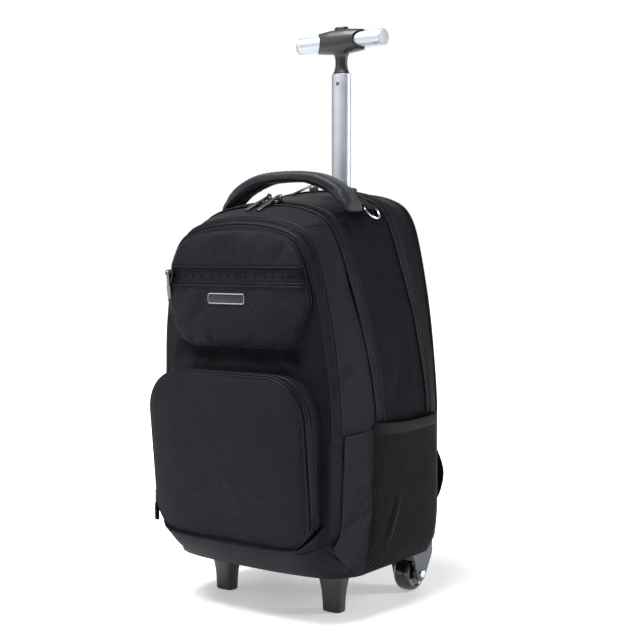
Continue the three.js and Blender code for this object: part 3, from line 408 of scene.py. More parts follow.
class Shader:
    """A material's nodes, added one by one."""

    def __init__(self, name: str) -> None:
        """Starts a material with one principled shader."""
        self.material = bpy.data.materials.new(name)
        self.material.use_nodes = True
        self.nodes = self.material.node_tree.nodes
        self.links = self.material.node_tree.links
        self.surface = self.nodes["Principled BSDF"]

    def add(self, kind: str, **values: object) -> bpy.types.Node:
        """Adds a node and sets its attributes."""
        node = self.nodes.new(kind)
        for name, value in values.items():
            setattr(node, name, value)
        return node

    def feed(self, socket: bpy.types.NodeSocket, value: object) -> None:
        """Sets a socket to a number, or links an output to it."""
        if isinstance(value, bpy.types.NodeSocket):
            self.links.new(value, socket)
        else:
            socket.default_value = value

    def math(self, operation: str, a: object, b: object = 0.0) -> bpy.types.NodeSocket:
        """Adds a sum, product or other function of two values."""
        node = self.add("ShaderNodeMath", operation=operation)
        self.feed(node.inputs[0], a)
        self.feed(node.inputs[1], b)
        return node.outputs[0]

    def between(self, a: object, b: object, share: object) -> bpy.types.NodeSocket:
        """Adds a mix of two numbers."""
        node = self.add("ShaderNodeMix", data_type="FLOAT")
        self.feed(node.inputs["Factor"], share)
        self.feed(node.inputs[2], a)
        self.feed(node.inputs[3], b)
        return node.outputs[0]

    def tint(self, a: Sequence[float], b: Sequence[float], share: object) -> bpy.types.NodeSocket:
        """Adds a mix of two colours."""
        node = self.add("ShaderNodeMix", data_type="RGBA")
        self.feed(node.inputs["Factor"], share)
        node.inputs[6].default_value = (*a, 1.0)
        node.inputs[7].default_value = (*b, 1.0)
        return node.outputs[2]

    def noise(self, where: object, scale: float, detail: float = 2.0) -> bpy.types.NodeSocket:
        """Adds cloudy noise."""
        node = self.add("ShaderNodeTexNoise")
        self.feed(node.inputs["Vector"], where)
        node.inputs["Scale"].default_value = scale
        node.inputs["Detail"].default_value = detail
        return node.outputs["Fac"]

    def bump(self, height: object, distance: float, strength: float) -> None:
        """Raises the surface by a height."""
        node = self.add("ShaderNodeBump")
        node.inputs["Strength"].default_value = strength
        node.inputs["Distance"].default_value = distance
        self.feed(node.inputs["Height"], height)
        self.links.new(node.outputs[0], self.surface.inputs["Normal"])


@dataclass(frozen=True)
class ClothFinish:
    """A woven cloth.

    Attributes:
        name: The material's name.
        colour: Its colour, linear.
        weave: How its threads lie.
        pitch: The repeat of its weave, in metres.
        relief: How far its threads stand out, in metres.
        roughness: Its roughness.
        sheen: How strongly its fibres catch light from the side.
        gloss: How strongly its threads reflect.
    """

    name: str
    colour: tuple[float, float, float]
    weave: Weave
    pitch: float
    relief: float
    roughness: float = 0.62
    sheen: float = 0.03
    gloss: float = 0.16

    def build(self) -> bpy.types.Material:
        """Makes the material."""
        s = Shader(self.name)
        where = s.add("ShaderNodeTexCoord").outputs["Object"]
        position = s.add("ShaderNodeSeparateXYZ")
        s.feed(position.inputs[0], where)
        facing = s.add("ShaderNodeSeparateXYZ")
        s.feed(facing.inputs[0], s.add("ShaderNodeNewGeometry").outputs["Normal"])
        nx, ny, nz = (s.math("ABSOLUTE", facing.outputs[i]) for i in range(3))
        sideways = s.math("GREATER_THAN", nx, s.math("MAXIMUM", ny, nz))
        upward = s.math("GREATER_THAN", nz, s.math("MAXIMUM", nx, ny))
        u = s.between(position.outputs[0], position.outputs[1], sideways)
        v = s.between(position.outputs[2], position.outputs[1], upward)
        turn = 2 * math.pi / self.pitch
        across = s.math("MULTIPLY", u, turn)
        up = s.math("MULTIPLY", v, turn)
        if self.weave is Weave.TWILL:
            thread = s.math("SINE", s.math("ADD", s.math("MULTIPLY", across, 0.8), up))
        elif self.weave is Weave.BALLISTIC:
            thread = s.math("MULTIPLY", s.math("SINE", across), s.math("SINE", up))
        else:
            thread = s.math("SINE", up)
        fibre = s.noise(where, 1400.0)
        cloud = s.noise(where, 14.0, 3.0)
        height = s.math("ADD", s.math("MULTIPLY", thread, 0.5), s.math("MULTIPLY", fibre, 0.6))
        share = s.math("ADD", s.math("MULTIPLY", thread, 0.5), s.math("MULTIPLY", cloud, 0.7))
        light = [min(1.0, c * 4.2 + 0.001) for c in self.colour]
        s.feed(s.surface.inputs["Base Color"], s.tint(self.colour, light, share))
        s.feed(s.surface.inputs["Roughness"], s.between(self.roughness - 0.1, self.roughness + 0.12, cloud))
        s.surface.inputs["Sheen Weight"].default_value = self.sheen
        s.surface.inputs["Sheen Roughness"].default_value = 0.4
        s.surface.inputs["Specular IOR Level"].default_value = self.gloss
        s.bump(height, self.relief, 0.8)
        return s.material


@dataclass(frozen=True)
class HardFinish:
    """A moulded or metal surface.

    Attributes:
        name: The material's name.
        colour: Its colour, linear.
        metal: How metallic it is, 0 or 1.
        roughness: Its roughness.
        grain: How far its fine texture stands out, in metres.
        coat: The strength of its clear coat.
        streaks: How much its grain is drawn out along Z.
    """

    name: str
    colour: tuple[float, float, float]
    metal: float
    roughness: float
    grain: float = 0.00002
    coat: float = 0.0
    streaks: float = 1.0

    def build(self) -> bpy.types.Material:
        """Makes the material."""
        s = Shader(self.name)
        where = s.add("ShaderNodeTexCoord").outputs["Object"]
        stretch = s.add("ShaderNodeMapping")
        s.feed(stretch.inputs["Vector"], where)
        stretch.inputs["Scale"].default_value = (1.0, 1.0, 1.0 / self.streaks)
        drawn = stretch.outputs[0]
        fine = s.noise(drawn, 1800.0)
        rub = s.noise(where, 45.0, 4.0)
        lighter = [min(1.0, c * 1.22 + 0.002) for c in self.colour]
        s.feed(s.surface.inputs["Base Color"], s.tint(self.colour, lighter, rub))
        s.feed(s.surface.inputs["Roughness"], s.between(self.roughness * 0.85, self.roughness * 1.2, rub))
        s.surface.inputs["Metallic"].default_value = self.metal
        s.surface.inputs["Coat Weight"].default_value = self.coat
        s.surface.inputs["Coat Roughness"].default_value = 0.12
        s.bump(fine, self.grain, 0.6)
        return s.material


NYLON = ClothFinish("woven nylon", (0.0026, 0.0029, 0.0044), Weave.BALLISTIC, 3.1 * MM, 0.8 * MM, 0.55,
                    0.02, 0.08)
SIDE_NYLON = ClothFinish("smooth nylon", (0.002, 0.0022, 0.003), Weave.TWILL, 1.9 * MM, 0.16 * MM, 0.42,
                         0.0, 0.022)
# The grab handle's nylon is coloured lighter than the body's nylon: painted sheen, for the light along the
# handle's top.
HANDLE_NYLON_PAINTED_SHEEN = ClothFinish("handle nylon, painted sheen", (0.005, 0.0054, 0.0074), Weave.TWILL, 1.7 * MM, 0.16 * MM, 0.5,
                           0.05, 0.24)
TRIM = ClothFinish("trim", (0.0027, 0.0029, 0.0041), Weave.RIB, 1.4 * MM, 0.16 * MM, 0.62, 0.0, 0.09)
PIPING = ClothFinish("piping", (0.0018, 0.0019, 0.0025), Weave.TWILL, 1.1 * MM, 0.08 * MM, 0.4, 0.0, 0.12)
NETTING = ClothFinish("netting", (0.0024, 0.0026, 0.0034), Weave.RIB, 0.9 * MM, 0.05 * MM, 0.45, 0.0, 0.16)
THREAD = ClothFinish("thread", (0.0022, 0.0022, 0.0028), Weave.TWILL, 0.5 * MM, 0.03 * MM, 0.6, 0.0, 0.08)
# Near-black knit for the sheet behind the mesh pockets' net: painted shade of the pouch's inside.
POUCH_SHADE_KNIT = ClothFinish("knit", (0.0008, 0.0009, 0.0012), Weave.TWILL, 1.5 * MM, 0.1 * MM, 0.7, 0.0, 0.06)
COIL = ClothFinish("zip coil", (0.0016, 0.0017, 0.0022), Weave.RIB, 1.2 * MM, 0.04 * MM, 0.55, 0.0, 0.07)
ALUMINIUM = HardFinish("satin aluminium", (0.4, 0.425, 0.47), 1.0, 0.44, 0.00001, streaks=30.0)
CHROME = HardFinish("bright steel", (0.66, 0.67, 0.69), 1.0, 0.14, 0.000004)
GUNMETAL = HardFinish("gunmetal", (0.1, 0.105, 0.112), 1.0, 0.26, 0.000005)
RIM = HardFinish("plate rim", (0.36, 0.365, 0.38), 1.0, 0.3)
BLACK = HardFinish("black moulding", (0.0042, 0.0045, 0.006), 0.0, 0.38, 0.00003)
SLATE = HardFinish("slate moulding", (0.036, 0.042, 0.057), 0.0, 0.4, 0.00002)
CAP_GREY = HardFinish("end cap", (0.3, 0.31, 0.34), 0.0, 0.4, 0.00001)
TYRE = HardFinish("glossy tyre", (0.006, 0.006, 0.0065), 0.0, 0.16, 0.000004, coat=0.4)


class Wardrobe:
    """Makes each finish once, and dresses pieces in it."""

    def __init__(self) -> None:
        """Starts with no finish made."""
        self.made: dict[str, bpy.types.Material] = {}

    def dress(
        self,
        piece: bpy.types.Object,
        finish: ClothFinish | HardFinish,
        slot: str,
        body: str | None = "bag",
        replaces: Sequence[str] = (),
    ) -> bpy.types.Object:
        """Gives a piece its finish and its place among the solids.

        Args:
            piece: The piece.
            finish: Its finish.
            slot: The record's material slot for it; not used.
            body: The solid body it moves with, or None for a solid of the part itself.
            replaces: The solids that it stands for.

        Returns:
            The piece.
        """
        if finish.name not in self.made:
            self.made[finish.name] = finish.build()
        piece.data.materials.clear()
        piece.data.materials.append(self.made[finish.name])
        if body is not None:
            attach(piece, body)
        if replaces:
            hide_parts(*replaces)
        LOG.info("%s: %d faces", piece.name, len(piece.data.polygons))
        return piece


# The bag's body


@dataclass(frozen=True)
class BodySizes:
    """The driving sizes of the bag's body."""

    half_width: float = 144 * MM
    bottom: float = 57 * MM
    top: float = 550 * MM
    shoulder: float = 254 * MM
    corner: float = 26 * MM
    front: float = -73 * MM
    rear: float = 175 * MM
    main_zip: float = 15 * MM
    rear_zip: float = 137 * MM
    dome: float = 11 * MM


BODY_ROWS: Table = {
    "depth": (0, 0.045, 0.09, 0.15, 0.355, 0.444, 0.66, 0.847, 0.91, 1),
    "crown": (0.045, 0.05, 0.055, 0.08, 0.19, 0.18, 0.19, 0.2, 0.13, 0.05),
    "width": (0.945, 0.972, 0.982, 0.988, 1.0, 1.004, 1.01, 1.006, 1.0, 0.965),
    "height": (0.897, 0.91, 0.921, 0.932, 0.951, 0.962, 0.981, 0.996, 1.0, 0.994),
    "rise": (1.5, 0.7, 0.25, 0, 0, 0, 0, 0, 0.3, 1.3),
}
ARCH_ROWS: Table = {
    "up": (0, 0.22, 0.44, 0.62, 0.75, 0.84, 0.905, 0.945, 0.975, 0.993, 1),
    "width": (1, 0.972, 0.934, 0.883, 0.834, 0.785, 0.715, 0.62, 0.46, 0.25, 0),
}
CROWN = 13.0


class Depths:
    """Turns a depth behind the front feet into the frame's Y."""

    def __init__(self) -> None:
        """Finds the feet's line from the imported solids."""
        low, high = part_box("foot_left")
        self.feet = (low.y + high.y) / 2

    def y(self, depth: float | Points) -> float | Points:
        """The frame's Y at a depth."""
        return depth + self.feet


class Body:
    """The body's outline at each depth, without folds.

    A place on the outline is a number: 0 at the middle of the bottom, 1 to 2 round the
    corner, 3 at the shoulder and 13 at the crown. It is negative on the left.
    """

    def __init__(self, sizes: BodySizes, depths: Depths) -> None:
        """Keeps the sizes and works out how places run along the outline."""
        self.sizes = sizes
        self.depths = depths
        self.length = sizes.rear - sizes.front
        fine = np.linspace(0, CROWN, 2000)
        line = self.surface(fine, np.full(len(fine), sizes.main_zip))
        run = np.concatenate([[0], np.cumsum(np.linalg.norm(np.diff(line, axis=0), axis=1))])
        self.fine, self.run = fine, run

    def row(self, depth: Points) -> dict[str, Points]:
        """The outline's columns at each depth."""
        share = (depth - self.sizes.front) / self.length
        return {name: monotone(share, BODY_ROWS, "depth", name) for name in BODY_ROWS if name != "depth"}

    def lean(self, depth: Points, row: dict[str, Points], height: Points) -> Points:
        """The depth of a point at a height: the crown lies ahead of the sides."""
        s = self.sizes
        top = s.bottom + (s.top - s.bottom) * row["height"]
        return depth - self.length * row["crown"] * ease((height - s.shoulder) / (top - s.shoulder))

    def surface(self, place: Points, depth: Points) -> Points:
        """Points on the body.

        Args:
            place: Places on the outline, negative on the left.
            depth: The depth of the sides at each.

        Returns:
            One point for each place, in the frame.
        """
        s = self.sizes
        row = self.row(depth)
        side = np.where(place < 0, -1.0, 1.0)
        c = np.abs(place)
        half = s.half_width * row["width"]
        low = s.bottom + s.corner * row["rise"]
        high = s.bottom + (s.top - s.bottom) * row["height"]
        turn = np.clip(c - 1, 0, 1) * np.pi / 2
        x = np.where(c < 1, c * (half - s.corner), half - s.corner + s.corner * np.sin(turn))
        z = low + s.corner - s.corner * np.cos(turn)
        rising = np.clip(c - 2, 0, 1)
        z = np.where(c > 2, low + s.corner + (s.shoulder - low - s.corner) * rising, z)
        arch = np.column_stack([ARCH_ROWS["up"], ARCH_ROWS["width"]])
        arch = np.vstack([[-0.22, 1.0], arch, [0.993, -0.25]])
        bend = through(arch, np.clip(c - 3, 0, CROWN - 3) + 1)
        x = np.where(c > 3, half * bend[:, 1], x)
        z = np.where(c > 3, s.shoulder + (high - s.shoulder) * bend[:, 0], z)
        return np.stack([side * x, self.depths.y(self.lean(depth, row, z)), z], axis=1)

    def ring(self, count: int) -> Points:
        """Places all round the outline, at even steps, from the middle of the bottom."""
        half = np.interp(np.linspace(0, self.run[-1], count // 2 + 1), self.run, self.fine)
        return np.concatenate([half, -half[-2:0:-1]])

    def arch(self, height: float, count: int) -> Points:
        """Places over the top at even steps, from one side's height to the other's."""
        s = self.sizes
        line = self.surface(self.fine, np.full(len(self.fine), s.main_zip))
        start = float(np.interp(height, line[self.fine > 2][:, 2], self.fine[self.fine > 2]))
        from_run = float(np.interp(start, self.fine, self.run))
        half = np.interp(np.linspace(from_run, self.run[-1], count // 2 + 1), self.run, self.fine)
        return np.concatenate([half, -half[-2::-1]])


@dataclass(frozen=True)
class Fold:
    """A crease or swelling of the cloth along a straight line.

    Attributes:
        start: One end, as X, depth and height.
        end: The other end.
        width: How far it reaches to each side.
        rise: How far it stands out, negative for a crease.
    """

    start: tuple[float, float, float]
    end: tuple[float, float, float]
    width: float
    rise: float

    def height(self, points: Points, depths: Depths) -> Points:
        """How far it moves each point outward."""
        a = np.array(self.start) + (0, depths.feet, 0)
        b = np.array(self.end) + (0, depths.feet, 0)
        share = np.clip((points - a) @ (b - a) / max(float((b - a) @ (b - a)), 1e-12), 0, 1)
        away = np.linalg.norm(points - a - share[:, None] * (b - a), axis=1)
        fade = 0.35 + 0.65 * np.sin(np.pi * share)
        return self.rise * fade * np.exp(-((away / self.width) ** 2))


def folds_from(rows: Sequence[tuple[float, ...]]) -> list[Fold]:
    """Folds from rows of x, depth, height, x, depth, height, width and rise, in millimetres."""
    return [
        Fold(tuple(v * MM for v in row[:3]), tuple(v * MM for v in row[3:6]), row[6] * MM, row[7] * MM)
        for row in rows
    ]


FRONT_FOLDS = folds_from([
    (-98, -80, 342, -108, -84, 320, 9, -3.0),
    (-74, -80, 342, -80, -84, 320, 8, 3.0),
    (-44, -80, 344, -40, -84, 320, 10, -3.0),
    (-4, -80, 344, 2, -84, 320, 12, 2.6),
    (36, -80, 342, 46, -84, 322, 9, -2.6),
    (62, -80, 342, 80, -84, 318, 7, 4.0),
    (78, -80, 348, 100, -84, 320, 6, -4.0),
    (108, -74, 362, 122, -78, 322, 9, -1.6),
    (126, -60, 330, 140, -15, 300, 9, -2.2),
    (132, -58, 300, 142, -8, 318, 8, 1.8),
    (138, -62, 420, 128, -30, 452, 12, 2.0),
    (140, -50, 250, 142, 0, 232, 8, -1.6),
    (141, -50, 200, 142, 5, 178, 9, 1.8),
    (141, -52, 150, 142, 8, 172, 8, -1.8),
    (140, -55, 120, 141, 2, 132, 8, 1.6),
    (139, -50, 96, 141, 10, 104, 7, -1.4),
    (90, -45, 500, 62, -40, 520, 9, -1.5),
    (20, -62, 512, 60, -58, 506, 9, 1.4),
    (-141, -50, 200, -142, 5, 178, 9, 1.8),
    (-141, -52, 150, -142, 8, 172, 8, -1.8),
    (-138, -62, 420, -128, -30, 452, 12, 2.0),
])
MAIN_FOLDS = folds_from([
    (139, 40, 320, 131, 50, 400, 22, 2.6),
    (143, 60, 262, 138, 96, 330, 14, -2.4),
    (141, 100, 290, 133, 104, 380, 12, 2.0),
    (127, 30, 430, 118, 66, 462, 12, -1.8),
    (108, 62, 500, 84, 76, 524, 10, -1.6),
    (118, 30, 486, 100, 22, 512, 8, -2.0),
    (60, 40, 538, 30, 62, 541, 12, 1.5),
    (-139, 40, 320, -131, 50, 400, 22, 2.6),
    (-143, 60, 262, -138, 96, 330, 14, -2.4),
    (-127, 30, 430, -118, 66, 462, 12, -1.8),
    (-60, 40, 538, -30, 62, 541, 12, 1.5),
])


def ripple(points: Points, scale: float, rise: float, seed: int) -> Points:
    """Broad, soft unevenness of a stuffed cloth, from a few waves with a fixed seed."""
    random = np.random.default_rng(seed)
    total = np.zeros(len(points))
    for _ in range(7):
        direction = unit(random.normal(size=3))
        wave = scale * random.uniform(0.7, 1.6)
        total += np.sin(points @ direction * 2 * np.pi / wave + random.uniform(0, 2 * np.pi))
    return rise * total / 7


class Skin:
    """A finished cloth surface that other pieces lie on."""

    def __init__(self, piece: bpy.types.Object) -> None:
        """Keeps the piece and a tree for finding its surface."""
        self.piece = piece
        graph = bpy.context.evaluated_depsgraph_get()
        self.tree = BVHTree.FromObject(piece, graph)

    def nearest(self, points: Points) -> tuple[Points, Points]:
        """The nearest places on the surface and its normals there."""
        found = [self.tree.find_nearest(Vector(p)) for p in points]
        return np.array([f[0] for f in found]), np.array([f[1] for f in found])

    def along(self, points: Points, direction: Sequence[float]) -> tuple[Points, Points]:
        """Where lines from points meet the surface, and its normals there. A line that misses
        takes the nearest place."""
        heading = Vector(direction)
        places, normals = [], []
        for p in points:
            hit = self.tree.ray_cast(Vector(p), heading)
            if hit[0] is None:
                hit = self.tree.find_nearest(Vector(p))
            places.append(hit[0])
            normals.append(hit[1])
        return np.array(places), np.array(normals)


def grid_normals(rows: Points) -> Points:
    """Outward normals of a net of points that surrounds its own middle."""
    across = np.gradient(rows, axis=1)
    across[:, 0] = rows[:, 1] - rows[:, -1]
    across[:, -1] = rows[:, 0] - rows[:, -2]
    normals = unit(np.cross(across, np.gradient(rows, axis=0)))
    middle = rows.reshape(-1, 3).mean(axis=0)
    facing = ((rows - middle) * normals).sum(axis=-1).mean()
    return normals if facing > 0 else -normals


@dataclass(frozen=True)
class ShellSizes:
    """How finely the cloth is divided, and the recess in the front under the panel."""

    columns: int = 336
    cell: float = 3.2 * MM
    recess_low: float = 319 * MM
    recess_high: float = 356 * MM
    recess_half: float = 112 * MM
    recess_deep: float = 11 * MM
    pole_room: tuple[float, float] = (17 * MM, 12.5 * MM)
    pole_depth: float = 145 * MM


class Shells:
    """The front and main compartments' cloth."""

    def __init__(self, body: Body, sizes: ShellSizes, wardrobe: Wardrobe) -> None:
        """Keeps the body and sizes."""
        self.body = body
        self.sizes = sizes
        self.wardrobe = wardrobe

    def depth_rows(self, start: float, end: float) -> Points:
        """Depths from one to another in steps of the cell."""
        return np.linspace(start, end, int((end - start) / self.sizes.cell) + 2)

    def front(self) -> Skin:
        """The front compartment, with its domed face and the recess in it."""
        body, s = self.body, self.body.sizes
        places = body.ring(self.sizes.columns)
        rim = body.surface(places, np.full(len(places), s.front))
        middle = (rim[:, 2].min() + rim[:, 2].max()) / 2
        row = body.row(np.full(len(places), s.front))
        rows = []
        for share in np.concatenate([np.linspace(0.01, 0.96, 62), [0.985]]):
            z = middle + (rim[:, 2] - middle) * share
            y = body.depths.y(body.lean(np.full(len(z), s.front), row, z)) - s.dome * (1 - share**2)
            rows.append(np.stack([rim[:, 0] * share, y, z], axis=1))
        for depth in self.depth_rows(s.front, s.main_zip):
            rows.append(body.surface(places, np.full(len(places), depth)))
        grid = np.array(rows)
        points, normals = grid.reshape(-1, 3), grid_normals(grid).reshape(-1, 3)
        push = sum(fold.height(points, body.depths) for fold in FRONT_FOLDS)
        push += ripple(points, 0.11, 1.2 * MM, 3) + ripple(points, 0.045, 0.35 * MM, 4)
        push -= self.recess(points)
        moved = (points + push[:, None] * normals).reshape(grid.shape)
        facets = Facets()
        facets.grid(moved, around=True)
        piece = facets.build("front_shell", 80)
        self.wardrobe.dress(piece, NYLON, "cloth", replaces=["front_compartment"])
        return Skin(piece)

    def recess(self, points: Points) -> Points:
        """How far the face lies back in the dark recess under the padded panel."""
        s = self.sizes
        face = ease((self.body.depths.y(self.body.sizes.front + 12 * MM) - points[:, 1]) / (8 * MM))
        low = ease((points[:, 2] - s.recess_low) / (24 * MM))
        high = ease((s.recess_high - points[:, 2]) / (8 * MM))
        side = ease((s.recess_half - np.abs(points[:, 0])) / (34 * MM))
        return s.recess_deep * face * low * high * side

    def main(self) -> Skin:
        """The main compartment, open for the pole at its top."""
        body, s = self.body, self.body.sizes
        places = body.ring(self.sizes.columns)
        rows = [
            body.surface(places, np.full(len(places), depth)) for depth in self.depth_rows(s.main_zip, s.rear)
        ]
        grid = np.array(rows)
        points, normals = grid.reshape(-1, 3), grid_normals(grid).reshape(-1, 3)
        push = sum(fold.height(points, body.depths) for fold in MAIN_FOLDS)
        push += ripple(points, 0.12, 1.3 * MM, 7) + ripple(points, 0.05, 0.35 * MM, 8)
        moved = (points + push[:, None] * normals).reshape(grid.shape)
        facets = Facets()
        facets.grid(moved, around=True)
        middles = np.array([np.vstack(facets.points)[face].mean(axis=0) for face in facets.faces])
        room = self.sizes.pole_room
        behind = middles[:, 1] - body.depths.y(self.sizes.pole_depth)
        inside = (middles[:, 0] / room[0]) ** 2 + (behind / room[1]) ** 2 < 1
        open_top = inside & (middles[:, 2] > s.shoulder)
        facets.faces = [face for face, gone in zip(facets.faces, open_top) if not gone]
        piece = facets.build("main_shell", 80)
        self.wardrobe.dress(piece, SIDE_NYLON, "cloth", replaces=["main_compartment"])
        return Skin(piece)


# Zips, seams and stitches


@dataclass(frozen=True)
class BandSizes:
    """A zip band's sizes."""

    piping: float = 1.35 * MM
    tape_rise: float = 0.9 * MM
    tooth: tuple[float, float, float] = (0.95 * MM, 3.6 * MM, 1.1 * MM)
    tooth_pitch: float = 1.75 * MM
    stitch: tuple[float, float, float] = (2.1 * MM, 0.5 * MM, 0.42 * MM)
    stitch_pitch: float = 3.1 * MM


class Haberdashery:
    """Gathers piping, tape, teeth and stitches, and makes one piece of each kind."""

    def __init__(self, name: str, sizes: BandSizes, wardrobe: Wardrobe) -> None:
        """Starts with none."""
        self.name = name
        self.sizes = sizes
        self.wardrobe = wardrobe
        self.parts = {kind: Facets() for kind in ("piping", "tape", "teeth", "stitches")}

    def cord(self, line: Points, out: Points, lift: float = 0.0, radius: float | None = None) -> None:
        """Adds a piping cord along a line that lies on a surface."""
        size = radius or self.sizes.piping
        self.parts["piping"].tube(line + lift * out, out, size, 8)

    def run_stitches(self, line: Points, out: Points, lift: float = 0.15 * MM) -> None:
        """Adds a row of stitches along a line."""
        s = self.sizes
        count = max(2, int(length_of(line) / s.stitch_pitch))
        both = even(np.hstack([line, out]), count)
        along = unit(np.gradient(both[:, :3], axis=0))
        up = unit(both[:, 3:])
        axes = (along, unit(np.cross(along, up)), up)
        self.parts["stitches"].blocks(both[:, :3] + lift * up, axes, s.stitch)

    def run_teeth(self, line: Points, out: Points, lift: float) -> None:
        """Adds a zip's coil along a line."""
        s = self.sizes
        count = max(2, int(length_of(line) / s.tooth_pitch))
        both = even(np.hstack([line, out]), count)
        along = unit(np.gradient(both[:, :3], axis=0))
        up = unit(both[:, 3:])
        self.parts["teeth"].blocks(both[:, :3] + lift * up, (along, unit(np.cross(along, up)), up), s.tooth)

    def band(self, rows: Points, outs: Points) -> None:
        """Adds a whole zip band.

        Args:
            rows: Lines of points along the band on the surface, from one edge to the other.
            outs: The surface's normals there.
        """
        s = self.sizes
        share = np.linspace(0, 1, len(rows))
        valley = 1 - 0.55 * np.exp(-(((share - 0.5) / 0.09) ** 2))
        rise = s.tape_rise * np.sin(np.clip(share * 12, 0, np.pi / 2))
        rise = rise * np.sin(np.clip((1 - share) * 12, 0, np.pi / 2))
        lifted = rows + (rise * valley)[:, None, None] * outs
        self.parts["tape"].grid(lifted)
        last = len(rows) - 1
        for edge in (1, last - 1):
            self.cord(rows[edge], outs[edge], s.piping * 0.55)
        for at in (0.27, 0.73):
            k = round(at * last)
            self.run_stitches(lifted[k], outs[k])
        self.run_teeth(lifted[last // 2], outs[last // 2], 0.35 * MM)

    def build(self, replaces: Sequence[str] = ()) -> None:
        """Makes the pieces. The tape or the piping stands for the solids."""
        finishes = {"tape": TRIM, "piping": PIPING, "teeth": COIL, "stitches": THREAD}
        left = list(replaces)
        for kind, finish in finishes.items():
            if self.parts[kind].count:
                piece = self.parts[kind].build(f"{self.name}_{kind}", 60 if kind != "teeth" else 30)
                self.wardrobe.dress(piece, finish, "trim", replaces=left)
                left = []


class ZipBands:
    """The three zips that follow the body's arch."""

    def __init__(self, body: Body, front: Skin, main: Skin, wardrobe: Wardrobe) -> None:
        """Keeps what the bands lie on."""
        self.body, self.front, self.main, self.wardrobe = body, front, main, wardrobe

    def band(self, name: str, depth: float, width: float, end: float, skin: Skin) -> None:
        """Builds one band.

        Args:
            name: The solid that it stands for.
            depth: The depth of its front edge at the sides.
            width: Its width.
            end: The height at which it ends on both sides.
            skin: The cloth that it lies on.
        """
        places = self.body.arch(end, 420)
        rows, outs = [], []
        for share in np.linspace(0, 1, 15):
            line = self.body.surface(places, np.full(len(places), depth + width * share))
            seat, out = skin.nearest(line)
            rows.append(seat + 0.25 * MM * out)
            outs.append(out)
        outs = unit(np.array(outs).mean(axis=0) * 0.5 + np.array(outs) * 0.5)
        maker = Haberdashery(name, BandSizes(), self.wardrobe)
        maker.band(np.array(rows), outs)
        maker.build([name])

    def face_line(self) -> None:
        """The row of long stitches on the front face, just inside its piping."""
        places = self.body.arch(225 * MM, 500)
        rim = self.body.surface(places, np.full(len(places), self.body.sizes.front))
        middle = np.array([0.0, 0.0, self.body.sizes.shoulder])
        inward = unit((middle - rim) * (1, 0, 1))
        start = (rim + 3.4 * MM * inward) * (1, 0, 1) + (0, -1, 0)
        seat, out = self.front.along(start, (0, 1, 0))
        sizes = BandSizes(stitch=(3.4 * MM, 0.9 * MM, 0.7 * MM), stitch_pitch=5.2 * MM)
        maker = Haberdashery("face_stitches", sizes, self.wardrobe)
        maker.run_stitches(seat, out, 0.2 * MM)
        maker.build()

    def build(self) -> None:
        """Builds all three."""
        self.face_line()
        s = self.body.sizes
        self.band("front_zip", s.front + 1 * MM, 19 * MM, 225 * MM, self.front)
        self.band("main_zip", s.main_zip + 0.5 * MM, 19 * MM, 250 * MM, self.main)
        self.band("rear_zip", s.rear_zip, 14 * MM, 250 * MM, self.main)


@dataclass(frozen=True)
class SeamLine:
    """A sewn seam.

    Attributes:
        points: Its points, as X, depth and height in millimetres.
        heading: The direction in which the points are thrown on the cloth, or None for the nearest place.
        stitched: Whether a row of stitches runs beside it.
    """

    points: tuple[tuple[float, float, float], ...]
    heading: tuple[float, float, float] | None = None
    stitched: bool = True


FRONT_SEAMS = (
    SeamLine(((91, -60, 530), (97, -50, 530), (104, -32, 530)), (0, 0, -1)),
    SeamLine(((160, -70, 311), (160, -48, 318), (160, -18, 325)), (-1, 0, 0)),
    SeamLine(((160, -50, 226), (160, -25, 226), (160, 10, 225)), (-1, 0, 0)),
    SeamLine(((160, -52, 226), (160, -54, 190), (160, -56, 152), (160, -62, 122), (150, -72, 104)),
             (-1, 0, 0)),
    SeamLine(((160, -62, 122), (160, -48, 98), (160, -22, 72), (160, 0, 62)), (-1, 0, 0)),
    SeamLine(((-160, -50, 226), (-160, -25, 226), (-160, 10, 225)), (1, 0, 0)),
    SeamLine(((-160, -52, 226), (-160, -54, 190), (-160, -56, 152), (-160, -62, 122)), (1, 0, 0)),
    SeamLine(((0, -62, 60), (60, -62, 60), (110, -60, 62)), (0, 0, 1), False),
)
MAIN_SEAMS = (
    SeamLine(((103, -10, 600), (103, 26, 600), (102, 60, 600), (98, 92, 600)), (0, 0, -1)),
    SeamLine(((-103, -10, 600), (-103, 26, 600), (-102, 60, 600), (-98, 92, 600)), (0, 0, -1)),
)


class Seams:
    """Seam lines sewn on a cloth, with their stitches."""

    def __init__(self, name: str, depths: Depths, wardrobe: Wardrobe) -> None:
        """Keeps where depths start."""
        self.depths = depths
        self.maker = Haberdashery(name, BandSizes(), wardrobe)

    def sew(self, lines: Sequence[SeamLine], skin: Skin) -> None:
        """Adds seams on a cloth."""
        for seam in lines:
            points = np.array(seam.points, float) * MM + (0, self.depths.feet, 0)
            line = curve(points, max(8, int(length_of(points) / (2.5 * MM))))
            seat, out = skin.nearest(line) if seam.heading is None else skin.along(line, seam.heading)
            self.maker.cord(seat, out, 0.1 * MM, 0.75 * MM)
            if seam.stitched:
                across = unit(np.cross(unit(np.gradient(seat, axis=0)), out))
                beside, normal = skin.nearest(seat + 2.4 * MM * across)
                self.maker.run_stitches(beside, normal, 0.1 * MM)

    def build(self) -> None:
        """Makes the pieces."""
        self.maker.build()


# Padded pieces


